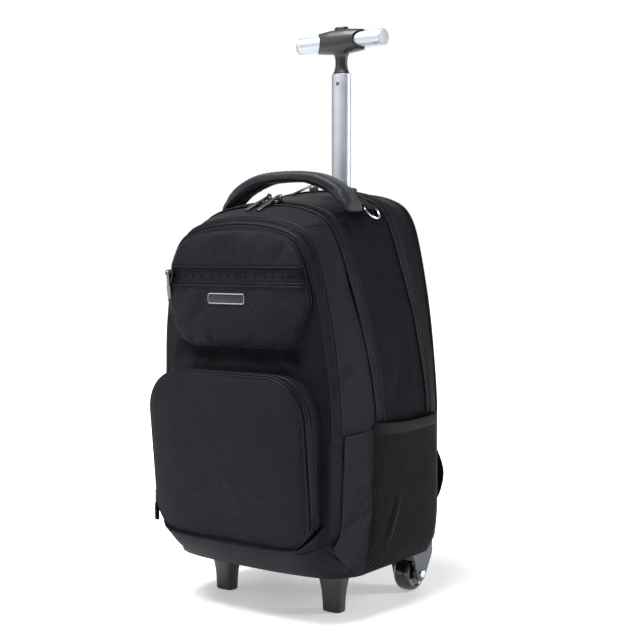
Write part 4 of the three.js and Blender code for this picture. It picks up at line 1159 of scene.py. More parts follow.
@dataclass(frozen=True)
class Filling:
    """How a padded piece is puffed up.

    Attributes:
        voxel: The size of its cells while it is puffed, or 0 where its own cells are even.
        pressure: The pressure inside it.
        frames: The number of steps.
        reach: How far its cloth may move.
        slack: How much larger its cloth is cut than its form.
    """

    voxel: float = 5 * MM
    pressure: float = 4.0
    frames: int = 20
    reach: float = 4 * MM
    slack: float = 0.02

    def puff(self, piece: bpy.types.Object, held: Callable[[Points], Points]) -> None:
        """Puffs a closed piece up, with its cloth held where it is sewn down.

        Args:
            piece: The piece, which gets an even mesh.
            held: Gives the hold on each point, from 0 to 1.
        """
        if self.voxel:
            cells = piece.modifiers.new("cells", "REMESH")
            cells.mode = "VOXEL"
            cells.voxel_size = self.voxel
            bake(piece)
        rest = coordinates(piece)
        group = piece.vertex_groups.new(name="held")
        for index, weight in enumerate(held(rest)):
            if weight > 0:
                group.add([index], float(weight), "REPLACE")
        cloth = piece.modifiers.new("cloth", "CLOTH")
        cloth.settings.quality = 6
        cloth.settings.mass = 0.2
        cloth.settings.tension_stiffness = 20
        cloth.settings.compression_stiffness = 12
        cloth.settings.bending_stiffness = 0.4
        cloth.settings.shrink_min = -self.slack
        cloth.settings.use_pressure = True
        cloth.settings.uniform_pressure_force = self.pressure
        cloth.settings.vertex_group_mass = "held"
        cloth.settings.effector_weights.gravity = 0.0
        scene = bpy.context.scene
        for frame in range(1, self.frames + 1):
            scene.frame_set(frame)
        bake(piece)
        scene.frame_set(1)
        piece.vertex_groups.clear()
        move = coordinates(piece) - rest
        far = np.linalg.norm(move, axis=1, keepdims=True)
        place_points(piece, rest + move * np.minimum(1, self.reach / np.maximum(far, 1e-9)))
        smooth = piece.modifiers.new("smooth", "SUBSURF")
        smooth.levels = 1
        smooth.render_levels = 1
        bake(piece)


@dataclass(frozen=True)
class PanelSizes:
    """The padded panel above the front pocket."""

    thickness: float = 8.5 * MM
    edge: float = 5 * MM
    inset: float = 4.5 * MM
    arch_edge: float = 8 * MM
    low: float = 346 * MM
    side_low: float = 404 * MM
    zip_low: float = 424 * MM
    zip_high: float = 446 * MM
    groove: float = 3.2 * MM
    badge: tuple[float, float] = (62 * MM, 15 * MM)


PANEL_SKIRT: Table = {"x": (0.89, 0.85, 0.79, 0.72, 0.6, 0.3, 0), "z": (1, 0.74, 0.48, 0.22, 0.03, 0, 0)}


class UpperPanel:
    """The padded panel, with its zip and the rim of its bare plate."""

    def __init__(self, body: Body, skin: Skin, sizes: PanelSizes, wardrobe: Wardrobe) -> None:
        """Keeps what the panel lies on."""
        self.body, self.skin, self.sizes, self.wardrobe = body, skin, sizes, wardrobe

    def outline(self) -> Points:
        """The panel's closed outline in X and Z, at even steps from the middle of its low edge."""
        s, b = self.sizes, self.body.sizes
        places = np.linspace(3, CROWN, 200)
        rim = self.body.surface(places, np.full(len(places), b.front))[:, [0, 2]]
        middle = np.array([0.0, rim[:, 1].min()])
        arch = rim - s.inset * unit(rim - middle)
        arch = arch[arch[:, 1] > s.side_low + 2 * MM]
        half = rim[0, 0] - s.inset
        skirt = np.column_stack([
            half * np.array(PANEL_SKIRT["x"]),
            s.low + (s.side_low - s.low) * np.array(PANEL_SKIRT["z"]),
        ])
        right = np.vstack([curve(skirt[::-1], 60), arch[2:]])
        whole = np.vstack([right, right[-2:0:-1] * (-1, 1)])
        return even(np.vstack([whole, whole[:1]]), 361)[:-1]

    def base(self, flat: Points) -> Points:
        """The points of the bag's front face behind points in X and Z, smoothed out and without
        its recess."""
        b = self.body.sizes
        row = self.body.row(np.full(len(flat), b.front))
        height = np.maximum(flat[:, 1], b.shoulder)
        lean = self.body.lean(np.full(len(flat), b.front), row, height)
        rim = self.body.surface(self.body.fine, np.full(len(self.body.fine), b.front))
        middle = (rim[:, 2].min() + rim[:, 2].max()) / 2
        reach = np.maximum(
            np.abs(flat[:, 0]) / rim[:, 0].max(), np.abs(flat[:, 1] - middle) / (rim[:, 2].max() - middle)
        )
        y = self.body.depths.y(lean) - b.dome * (1 - np.clip(reach, 0, 1) ** 2)
        return np.column_stack([flat[:, 0], y, flat[:, 1]])

    def groove(self, height: Points) -> Points:
        """How far the zip's groove goes in at each height."""
        s = self.sizes
        return s.groove * ease((height - s.zip_low) / (2.5 * MM)) * ease((s.zip_high - height) / (1.2 * MM))

    def pad(self) -> Skin:
        """The padded panel itself, puffed and held along its zip and its edge."""
        s = self.sizes
        outline = self.outline()
        corners = [int(len(outline) * share) for share in (0.91, 0.09, 0.38, 0.62)]
        flat = patch(outline, corners, 62, 74, 0.35)
        soft = s.edge + (s.arch_edge - s.edge) * ease((flat.reshape(-1, 2)[:, 1] - s.side_low) / (50 * MM))
        edge = np.clip(from_edge(flat.reshape(-1, 2), outline) / soft, 0, 1)
        lift = s.thickness * np.sqrt(np.maximum(1 - (1 - edge) ** 2, 0))
        seat = self.base(flat.reshape(-1, 2))
        front, back = seat.copy(), seat.copy()
        front[:, 1] -= lift
        back[:, 1] += 1.5 * MM * np.minimum(1, edge)
        facets = Facets()
        facets.pillow(front.reshape(62, 74, 3), back.reshape(62, 74, 3))
        piece = facets.build("panel_pad", 60)

        def held(points: Points) -> Points:
            """Holds the cloth at the zip, the badge, the back and the edge."""
            away = self.base(points[:, [0, 2]])[:, 1] - points[:, 1]
            zip_hold = (points[:, 2] > s.zip_low - 3 * MM) & (points[:, 2] < s.zip_high + 3 * MM)
            badge_low, badge_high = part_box("badge_plate")
            aside = np.abs(points[:, 0] - (badge_low.x + badge_high.x) / 2)
            above = np.abs(points[:, 2] - (badge_low.z + badge_high.z) / 2)
            badge_hold = (aside < s.badge[0] / 2 + 6 * MM) & (above < s.badge[1] / 2 + 5 * MM)
            return ((away < 0.5 * s.thickness) | zip_hold | badge_hold).astype(float)

        Filling(0.0, 4.0, 20, 2.4 * MM, 0.02).puff(piece, held)
        points = coordinates(piece)
        ahead = ease((self.base(points[:, [0, 2]])[:, 1] - points[:, 1]) / (0.6 * s.thickness))
        points[:, 1] += self.groove(points[:, 2]) * ahead
        place_points(piece, points)
        self.wardrobe.dress(piece, NYLON, "cloth", replaces=["upper_panel"])
        return Skin(piece)

    def throw(self, flat: Points, pad: Skin) -> tuple[Points, Points]:
        """Where flat points fall on the pad from the front, and the pad's normals there."""
        start = np.column_stack([flat[:, 0], np.full(len(flat), -1.0), flat[:, 1]])
        return pad.along(start, (0, 1, 0))

    def trims(self, pad: Skin) -> None:
        """The zip across the panel and the sewn line round its edge."""
        s = self.sizes
        outline = self.outline()
        maker = Haberdashery("panel_zip", BandSizes(piping=1.3 * MM, tape_rise=0.5 * MM), self.wardrobe)
        side = outline[(outline[:, 0] > 0) & (outline[:, 1] > s.side_low)]
        side = side[np.argsort(side[:, 1])]

        def line(z: float, short: float) -> tuple[Points, Points]:
            """A level line across the pad, stopping short of its edge."""
            half = float(np.interp(z, side[:, 1], side[:, 0])) - short
            across = np.linspace(-half, half, 120)
            return self.throw(np.column_stack([across, np.full(120, z)]), pad)

        rows, outs = [], []
        for z in np.linspace(s.zip_low + 1 * MM, s.zip_high - 1 * MM, 15):
            seat, out = line(z, 3 * MM)
            rows.append(seat + 0.2 * MM * out)
            outs.append(out)
        maker.band(np.array(rows), np.array(outs))
        for z in (s.zip_high + 0.6 * MM, s.zip_low - 0.8 * MM):
            seat, out = line(z, 1.5 * MM)
            maker.cord(seat, out, 0.1 * MM, 0.9 * MM)
        for z in (s.zip_high + 4 * MM, s.zip_low - 4.5 * MM):
            seat, out = line(z, 4 * MM)
            maker.run_stitches(seat, out)
        closed = np.vstack([outline, outline[:1]])
        seat = self.base(closed)
        out = np.tile((0.0, -1.0, 0.0), (len(seat), 1))
        maker.cord(seat - (0, 1.2 * MM, 0), out, 0.0, 1.1 * MM)
        maker.build(["upper_zip"])

    def plate_rim(self) -> None:
        """The thin bright rim of the bare plate."""
        s = self.sizes
        low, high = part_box("badge_plate")
        middle, tilt = (low + high) / 2, self.base(np.array([[0, low.z], [0, high.z]]))
        lean = (tilt[1, 1] - tilt[0, 1]) / (high.z - low.z)
        angle = np.linspace(0, 2 * np.pi, 97)[:-1]
        corner = 3 * MM
        half = np.array(s.badge) / 2 - 1.4 * MM - corner
        turn = np.stack([np.cos(angle), np.sin(angle)], axis=1)
        ring = corner * turn + half * np.sign(np.round(turn, 6))
        ring = even(np.vstack([ring, ring[:1]]), 161)[:-1]
        line = np.stack([middle.x + ring[:, 0], low.y + (high.z - middle.z) * abs(lean) + ring[:, 1] * lean,
                         middle.z + ring[:, 1]], axis=1)
        facets = Facets()
        facets.tube(line, np.tile((0.0, -1.0, 0.0), (len(line), 1)), 0.55 * MM, 8, closed=True)
        self.wardrobe.dress(facets.build("plate_rim"), RIM, "steel")

    def build(self) -> Skin:
        """Builds the panel and its trims."""
        pad = self.pad()
        self.trims(pad)
        self.plate_rim()
        return pad


@dataclass(frozen=True)
class PocketSizes:
    """The front pocket."""

    half_width: float = 125 * MM
    bottom: float = 97 * MM
    top: float = 313 * MM
    deep_top: float = 48 * MM
    deep_bottom: float = 27 * MM
    round_top: float = 55 * MM
    round_bottom: float = 42 * MM
    zip_setback: float = 6 * MM
    zip_width: float = 15 * MM
    zip_end: float = 128 * MM


POCKET_RIM: Table = {
    "inset": (0, 0.3, 1.2, 3, 6, 12, 24, 38),
    "back": (7, 3.6, 1.4, 0.2, -0.8, -2.0, -3.4, -4.4),
}
POCKET_FOLDS = folds_from([
    (-90, -110, 290, -60, -110, 250, 18, -1.2),
    (60, -112, 290, 96, -110, 262, 16, -1.0),
    (-96, -102, 150, -70, -102, 124, 16, 1.2),
    (40, -104, 130, 92, -102, 142, 14, -1.2),
    (-20, -106, 180, 30, -106, 172, 26, 1.2),
])


class FrontPocket:
    """The large zipped pocket on the front."""

    def __init__(self, body: Body, skin: Skin, sizes: PocketSizes, wardrobe: Wardrobe) -> None:
        """Keeps what the pocket stands on."""
        self.body, self.skin, self.sizes, self.wardrobe = body, skin, sizes, wardrobe

    def outline(self, inset: float, count: int = 300) -> Points:
        """The pocket's closed outline in X and Z, moved in by an inset."""
        s = self.sizes
        corners = ((1, s.round_top, True, 0), (-1, s.round_top, True, 90),
                   (-1, s.round_bottom, False, 180), (1, s.round_bottom, False, 270))
        points = []
        for side, radius, top, start in corners:
            middle = (side * (s.half_width - radius), s.top - radius if top else s.bottom + radius)
            for angle in np.radians(start + np.linspace(0, 90, 24)):
                points.append((
                    middle[0] + (radius - inset) * math.cos(angle),
                    middle[1] + (radius - inset) * math.sin(angle)
                ))
        line = np.array(points + points[:1])
        return even(line, count + 1)[:-1]

    def front_y(self, height: Points) -> Points:
        """The frame's Y of the pocket's front plane at a height."""
        s = self.sizes
        share = (height - s.bottom) / (s.top - s.bottom)
        depth = self.body.sizes.front - s.deep_bottom - (s.deep_top - s.deep_bottom) * share
        return self.body.depths.y(depth)

    def ring(self, inset: float, back: float) -> Points:
        """A ring of points behind the front plane."""
        flat = self.outline(inset)
        return np.stack([flat[:, 0], self.front_y(flat[:, 1]) + back, flat[:, 1]], axis=1)

    def build(self) -> Skin:
        """Builds the pocket's cloth, its piping and its zip."""
        s = self.sizes
        rings = []
        for setback in np.linspace(60, 8, 18):
            ring = self.ring(0, setback * MM)
            waist = 1 - 0.006 * math.sin(math.pi * min(1, setback / 40))
            rings.append(ring * (waist, 1, 1))
        for inset, back in zip(POCKET_RIM["inset"], POCKET_RIM["back"]):
            rings.append(self.ring(inset * MM, back * MM))
        edge = self.outline(POCKET_RIM["inset"][-1] * MM)
        centre = edge.mean(axis=0)
        for share in np.linspace(0.94, 0.03, 26):
            flat = centre + (edge - centre) * share
            bulge = (POCKET_RIM["back"][-1] - 2.2 * (1 - share**2)) * MM
            rings.append(np.stack([flat[:, 0], self.front_y(flat[:, 1]) + bulge, flat[:, 1]], axis=1))
        rings.append(np.tile([centre[0], self.front_y(centre[1:2])[0] - 6.6 * MM, centre[1]], (len(edge), 1)))
        points = np.array(rings)
        flat = points.reshape(-1, 3)
        push = sum(fold.height(flat, self.body.depths) for fold in POCKET_FOLDS)
        push += ripple(flat, 0.12, 0.9 * MM, 11) + ripple(flat, 0.05, 0.25 * MM, 12)
        flat[:, 1] -= push
        facets = Facets()
        facets.grid(flat.reshape(points.shape), around=True)
        piece = facets.build("pocket_shell", 70)
        self.wardrobe.dress(piece, NYLON, "cloth", replaces=["front_pocket"])
        skin = Skin(piece)
        self.trims(skin)
        return skin

    def trims(self, skin: Skin) -> None:
        """The piping round the face and the zip round the gusset."""
        s = self.sizes
        maker = Haberdashery("front_pocket_zip", BandSizes(), self.wardrobe)
        closed = self.ring(1.0 * MM, 2.2 * MM)
        closed = np.vstack([closed, closed[:1]])
        seat, out = skin.nearest(closed)
        maker.cord(seat, out, 0.5 * MM, 1.3 * MM)
        flat = self.outline(0, 900)
        order = np.argsort(np.arctan2(flat[:, 0], -(flat[:, 1] - (s.top + s.bottom) / 2)))
        flat = flat[order]
        keep = flat[:, 1] > s.zip_end
        keep &= ~((np.abs(flat[:, 0]) < 0.5 * s.half_width) & (flat[:, 1] < s.bottom + 5 * MM))
        arch = even(flat[keep], 330)
        outward = unit(np.gradient(arch, axis=0))[:, ::-1] * (1, -1)
        outward *= np.sign((outward * (arch - [0, (s.top + s.bottom) / 2])).sum(axis=1).mean())
        rows, outs = [], []
        for share in np.linspace(0, 1, 13):
            y = self.front_y(arch[:, 1]) + s.zip_setback + s.zip_width * share
            out = np.stack([outward[:, 0], np.zeros(len(arch)), outward[:, 1]], axis=1)
            rows.append(np.stack([arch[:, 0], y, arch[:, 1]], axis=1) + 0.3 * MM * out)
            outs.append(out)
        maker.band(np.array(rows), np.array(outs))
        maker.build(["front_pocket_zip"])


# The boot under the pocket


BOOT_TOP = (
    (-139, -53, 150), (-132, -64, 136), (-127.5, -80, 124), (-119, -94.5, 111), (-104, -101.5, 99.5),
    (-60, -102.5, 95.5), (0, -103, 95), (60, -102.5, 95.5),
    (104, -101.5, 99.5), (119, -94.5, 111), (127.5, -80, 124), (132, -64, 136), (139, -53, 150),
)
BOOT_LOW = (
    (-144.5, -12, 57.6), (-141, -28, 57.8), (-128, -48, 58), (-100, -60, 58), (-50, -66, 58),
    (0, -67, 58), (50, -66, 58), (100, -60, 58), (128, -48, 58), (141, -28, 57.8), (144.5, -12, 57.6),
)
LEAF = ((139, -53, 150), (138.3, -56, 129), (135.3, -60, 114.5), (129, -72, 102.5), (118, -88, 98),
        (100, -101.5, 96.5))
CORNER_SEAM = ((127, -76, 100), (134, -62, 90), (138.5, -51, 82), (143, -28, 66), (145, -13, 58.5))
SIDE_FRONT = (
    (139.5, -50, 237), (140.5, -51, 190), (139.5, -53, 152), (138.3, -56, 129), (135.3, -60, 114.5),
    (129, -72, 101.5), (134, -62, 90), (138.5, -51, 82), (143, -28, 66), (145, -13, 58.5),
)
SIDE_REAR = ((144, 9, 240), (145, 7.5, 182), (145.5, 2.5, 124), (145.5, -5, 84), (145, -12.5, 58.6))


SIDE_CREASES = folds_from([
    (142, -44, 150, 146, 2, 166, 5, 1.6), (142, -42, 138, 146, 0, 152, 4, -1.4),
    (142, -46, 124, 146, -4, 140, 5, 1.8), (141, -50, 112, 145, -20, 122, 4, -1.6),
    (142, -30, 200, 146, 4, 212, 8, -1.2),
])


class Boot:
    """The slanting cloth from the pocket's lower edge to the bag's bottom, with a leaf at each end."""

    def __init__(self, depths: Depths, front: Skin, rear: Skin, wardrobe: Wardrobe) -> None:
        """Keeps where depths start and the cloth it is sewn to."""
        self.depths, self.front, self.rear, self.wardrobe = depths, front, rear, wardrobe

    def place(self, rows: Sequence[Sequence[float]], count: int) -> Points:
        """A smooth line through points given as X, depth and height in millimetres."""
        return curve(np.array(rows, float) * MM + (0, self.depths.feet, 0), count)

    def clear(self, points: Points, skins: Sequence[Skin], gap: float, draw: float = 0.0) -> Points:
        """Moves points until they lie a gap outside other surfaces.

        Args:
            points: The points.
            skins: The surfaces.
            gap: How far outside them the points end.
            draw: How far high points may also be drawn in.

        Returns:
            The moved points.
        """
        middle = np.array([0.0, self.depths.y(60 * MM), 0.2])
        for skin in skins:
            seat, normal = skin.nearest(points)
            normal *= np.where(((seat - middle) * normal).sum(axis=1) < 0, -1, 1)[:, None]
            short = gap - ((points - seat) * normal).sum(axis=1)
            inward = draw * ease((points[:, 2] - 118 * MM) / (40 * MM))
            points = points + normal * np.clip(short, -inward, 12 * MM)[:, None]
        return points

    def sides(self, boot: Skin) -> None:
        """The cloth on each side below the compartments, down to the bag's lower corner."""
        for name, side in SIDES.items():
            fore, rear = (self.place(rows, 90) for rows in (SIDE_FRONT, SIDE_REAR))
            share = np.linspace(0, 1, 30)[:, None, None]
            grid = fore + (rear - fore) * share
            flat = grid.reshape(-1, 3) * (side, 1, 1)
            swell = np.repeat(np.sin(np.pi * share.ravel()), fore.shape[0])
            flat[:, 0] += side * swell * (1.2 * MM + ripple(flat, 0.05, 1.0 * MM, 33))
            flat = self.clear(flat, (self.front,), 0.4 * MM, 14 * MM)
            for fold in SIDE_CREASES:
                flat[:, 0] += side * fold.height(flat * (side, 1, 1), self.depths)
            flat = self.clear(flat, (self.front, self.rear, boot), 0.4 * MM)
            facets = Facets()
            facets.grid(flat.reshape(grid.shape))
            piece = facets.build(f"side_cloth_{name}", 70)
            self.wardrobe.dress(piece, NYLON, "cloth")
            maker = Haberdashery(f"side_seams_{name}", BandSizes(), self.wardrobe)
            skin = Skin(piece)
            top = self.place((SIDE_FRONT[0], (143, -18, 238), SIDE_REAR[0]), 40)
            for line in (fore, top):
                seat, normal = skin.nearest(line * (side, 1, 1))
                normal *= np.where(normal[:, :1] * side < 0, -1, 1)
                maker.cord(seat, normal, 0.1 * MM, 0.9 * MM)
            maker.build()

    def build(self) -> None:
        """Builds the cloth and its seams."""
        top, low = self.place(BOOT_TOP, 150), self.place(BOOT_LOW, 150)
        middle = np.array([0.0, self.depths.y(0.0), 0.2])
        tuck = 1 - ease((np.abs(top[:, 0]) - 92 * MM) / (26 * MM))
        rows = [top + tuck[:, None] * np.array([0, back, up]) * MM for back, up in ((24, 9), (12, 5), (3, 2))]
        for share in np.linspace(0, 1, 22):
            line = top + (low - top) * share
            taper = 1 - 0.9 * ease((np.abs(top[:, 0]) - 92 * MM) / (34 * MM))
            bulge = 5 * MM * np.sin(np.pi * share) ** 0.8 * taper
            rows.append(line + bulge[:, None] * unit((line - middle) * (0.5, 1, 1)))
        grid = np.array(rows)
        flat = grid.reshape(-1, 3)
        flat[:, 1] += ripple(flat, 0.06, 0.7 * MM, 31)
        grid = self.clear(flat, (self.front,), 0.3 * MM).reshape(grid.shape)
        facets = Facets()
        facets.grid(grid)
        piece = facets.build("boot", 80)
        self.wardrobe.dress(piece, NYLON, "cloth")
        skin = Skin(piece)
        maker = Haberdashery("boot_seams", BandSizes(), self.wardrobe)
        out = unit((top - middle) * (0.3, 1, 1))
        maker.cord(top, out, 0.2 * MM, 1.1 * MM)
        for side in SIDES.values():
            for rows in (LEAF, CORNER_SEAM):
                seat, normal = skin.nearest(self.place(rows, 60) * (side, 1, 1))
                normal *= np.where(((seat - middle) * normal).sum(axis=1) < 0, -1, 1)[:, None]
                maker.cord(seat, normal, 0.1 * MM, 0.8 * MM)
        maker.build()
        self.sides(skin)


# Mesh pockets


MESH_ROWS: Table = {
    "height": (0, 0.12, 0.35, 0.65, 1),
    "out": (0.1, 0.62, 0.9, 0.95, 1),
    "ahead": (0.15, 0.1, 0.04, 0.01, 0),
    "behind": (-0.12, 0.01, 0.04, 0.03, 0),
}
MESH_SHAPE: Table = {
    "along": (0, 0.06, 0.2, 0.45, 0.7, 0.9, 1),
    "out": (0, 0.5, 0.85, 1, 0.98, 0.72, 0.1),
}
PLEAT = folds_from([(156, 58, 150, 156, 24, 72, 5, 3.2), (156, 50, 150, 156, 12, 70, 4, -3.0)])


@dataclass(frozen=True)
class MeshPocketSizes:
    """A mesh side pocket."""

    low: float = 57.5 * MM
    top: float = 249 * MM
    front: float = 10 * MM
    rear: float = 164 * MM
    bulge: float = 12 * MM
    hem: float = 14 * MM
    cell: float = 4.6 * MM
    thread: float = 0.55 * MM


class MeshPocket:
    """An open pouch of net with a bound mouth."""

    def __init__(self, side: str, body: Body, skin: Skin, sizes: MeshPocketSizes, wardrobe: Wardrobe) -> None:
        """Keeps which side it is on and what it is sewn to."""
        self.side, self.body, self.skin, self.sizes, self.wardrobe = side, body, skin, sizes, wardrobe

    def surface(self, along: Points, up: Points) -> Points:
        """Points on the pouch, at shares of its length and of its height."""
        s = self.sizes
        shape = {name: monotone(up, MESH_ROWS, "height", name) for name in MESH_ROWS if name != "height"}
        length = s.rear - s.front
        start = s.front - shape["ahead"] * length
        end = s.rear + shape["behind"] * length
        out = monotone(along, MESH_SHAPE, "along", "out")
        x = self.body.sizes.half_width + s.bulge * shape["out"] * out + 0.4 * MM
        y = self.body.depths.y(start + (end - start) * along)
        z = s.low + (s.top - s.low) * up - 3.5 * MM * up * np.sin(np.pi * along)
        points = np.stack([x, y, z], axis=1)
        points[:, 0] += sum(fold.height(points, self.body.depths) for fold in PLEAT)
        points[:, 0] += ripple(points, 0.05, 0.7 * MM, 21) * np.sin(np.pi * np.clip(along, 0, 1))
        points[:, 0] *= SIDES[self.side]
        return points

    def normals(self, along: Points, up: Points) -> Points:
        """Outward normals of the pouch."""
        step = 0.004
        forward = self.surface(along + step, up) - self.surface(along - step, up)
        upward = self.surface(along, up + step) - self.surface(along, up - step)
        return unit(np.cross(forward, upward)) * SIDES[self.side]

    def net(self) -> bpy.types.Object:
        """The net: six-sided holes, their threads as thin bars."""
        s = self.sizes
        wide, tall = 0.178, s.top - s.low
        across, up = s.cell * 0.75, s.cell * math.sqrt(3) / 2
        columns, rows = int(wide / across) + 1, int(tall / up) + 1
        starts, ends = [], []
        corner = np.radians(np.arange(0, 360, 60))
        hexagon = np.stack([np.cos(corner), np.sin(corner)], axis=1) * s.cell / 2
        for i in range(columns):
            for j in range(rows):
                middle = np.array([i * across, (j + 0.5 * (i % 2)) * up])
                for k in (0, 1, 2):
                    starts.append(middle + hexagon[k])
                    ends.append(middle + hexagon[k + 1])
        a = np.array(starts) / (wide, tall)
        b = np.array(ends) / (wide, tall)
        limit = 1 - s.hem / tall
        inside = (np.minimum(a, b) > 0.001).all(axis=1) & (np.maximum(a, b)[:, 0] < 0.999)
        inside &= np.maximum(a, b)[:, 1] < limit + 0.02
        a, b = a[inside], b[inside]
        start, end = self.surface(a[:, 0], a[:, 1]), self.surface(b[:, 0], b[:, 1])
        out = self.normals((a + b)[:, 0] / 2, (a + b)[:, 1] / 2)
        along = unit(end - start)
        reach = np.linalg.norm(end - start, axis=1)[:, None]
        side = unit(np.cross(along, out))
        facets = Facets()
        corners = np.array([[-0.5, 0], [0, 0.5], [0.5, 0], [0, -0.5]]) * (s.thread * 1.7, s.thread)
        ends_at = [start - along * 0.1 * s.thread, start + along * (reach + 0.1 * s.thread)]
        bars = np.stack([
            end_at[:, None] + corners[None, :, :1] * side[:, None] + corners[None, :, 1:] * out[:, None]
            for end_at in ends_at
        ], axis=1)
        sides = np.array([[0, 1, 5, 4], [1, 2, 6, 5], [2, 3, 7, 6], [3, 0, 4, 7]])
        faces = sides[None] + 8 * np.arange(len(start))[:, None, None]
        facets.add(bars.reshape(-1, 3), faces.reshape(-1, 4))
        piece = facets.build(f"net_{self.side}", 60)
        return self.wardrobe.dress(piece, NETTING, "netting", replaces=[f"mesh_pocket_{self.side}"])

    def painted_shade_sheet(self, net: bpy.types.Object) -> None:
        """A near-black sheet of knit just behind the net, seen through its holes: painted shade of the
        pouch's inside.
        """
        along, up = np.meshgrid(np.linspace(0, 1, 60), np.linspace(0, 0.95, 60))
        points = self.surface(along.ravel(), up.ravel())
        points -= 1.1 * MM * self.normals(along.ravel(), up.ravel())
        facets = Facets()
        facets.grid(points.reshape(60, 60, 3))
        piece = facets.build(f"knit_{self.side}", 80)
        # painted shade: the sheet's near-black colour stands in for the shade inside the pouch
        self.wardrobe.dress(piece, POUCH_SHADE_KNIT, "netting")

    def hem(self) -> None:
        """The binding round the mouth, with its stitches."""
        s = self.sizes
        low = 1 - s.hem / (s.top - s.low)
        along = np.linspace(0, 1, 90)
        maker = Haberdashery(f"mesh_hem_{self.side}", BandSizes(), self.wardrobe)
        rows = []
        for up, lift in ((low, 0.2), (low + 0.005, 1.2), (0.97, 1.5), (0.995, 1.3), (1.0, 0.4), (0.99, -0.8),
                         (low + 0.01, -0.9)):
            level = np.full(len(along), up)
            rows.append(self.surface(along, level) + lift * MM * self.normals(along, level))
        maker.parts["tape"].grid(np.array(rows))
        for up in (low + 0.018, 0.972):
            level = np.full(len(along), up)
            out = self.normals(along, level)
            maker.run_stitches(self.surface(along, level) + 1.5 * MM * out, out)
        for edge in (0.0, 1.0):
            up = np.linspace(0.02, 0.99, 70)
            side = np.full(len(up), edge)
            line = self.surface(side, up)
            seat, out = self.skin.nearest(line)
            maker.cord(seat, out, 0.6 * MM, 1.5 * MM)
        maker.build([f"mesh_hem_{self.side}"])

    def build(self) -> None:
        """Builds the pocket."""
        self.painted_shade_sheet(self.net())
        self.hem()


# Handles, straps and the ring


@dataclass(frozen=True)
class GrabHandleSizes:
    """The padded grab handle."""

    half_span: float = 104 * MM
    depth: float = 26 * MM
    foot: float = 518 * MM
    top: float = 572 * MM
    width: float = 35 * MM
    thickness: float = 15 * MM
    end_width: float = 35 * MM
    end_thickness: float = 8 * MM


HANDLE_PATH: Table = {
    "x": (-1, -0.955, -0.74, -0.42, 0, 0.42, 0.74, 0.955, 1),
    "z": (0, 0.24, 0.66, 0.93, 1, 0.93, 0.66, 0.24, 0),
}


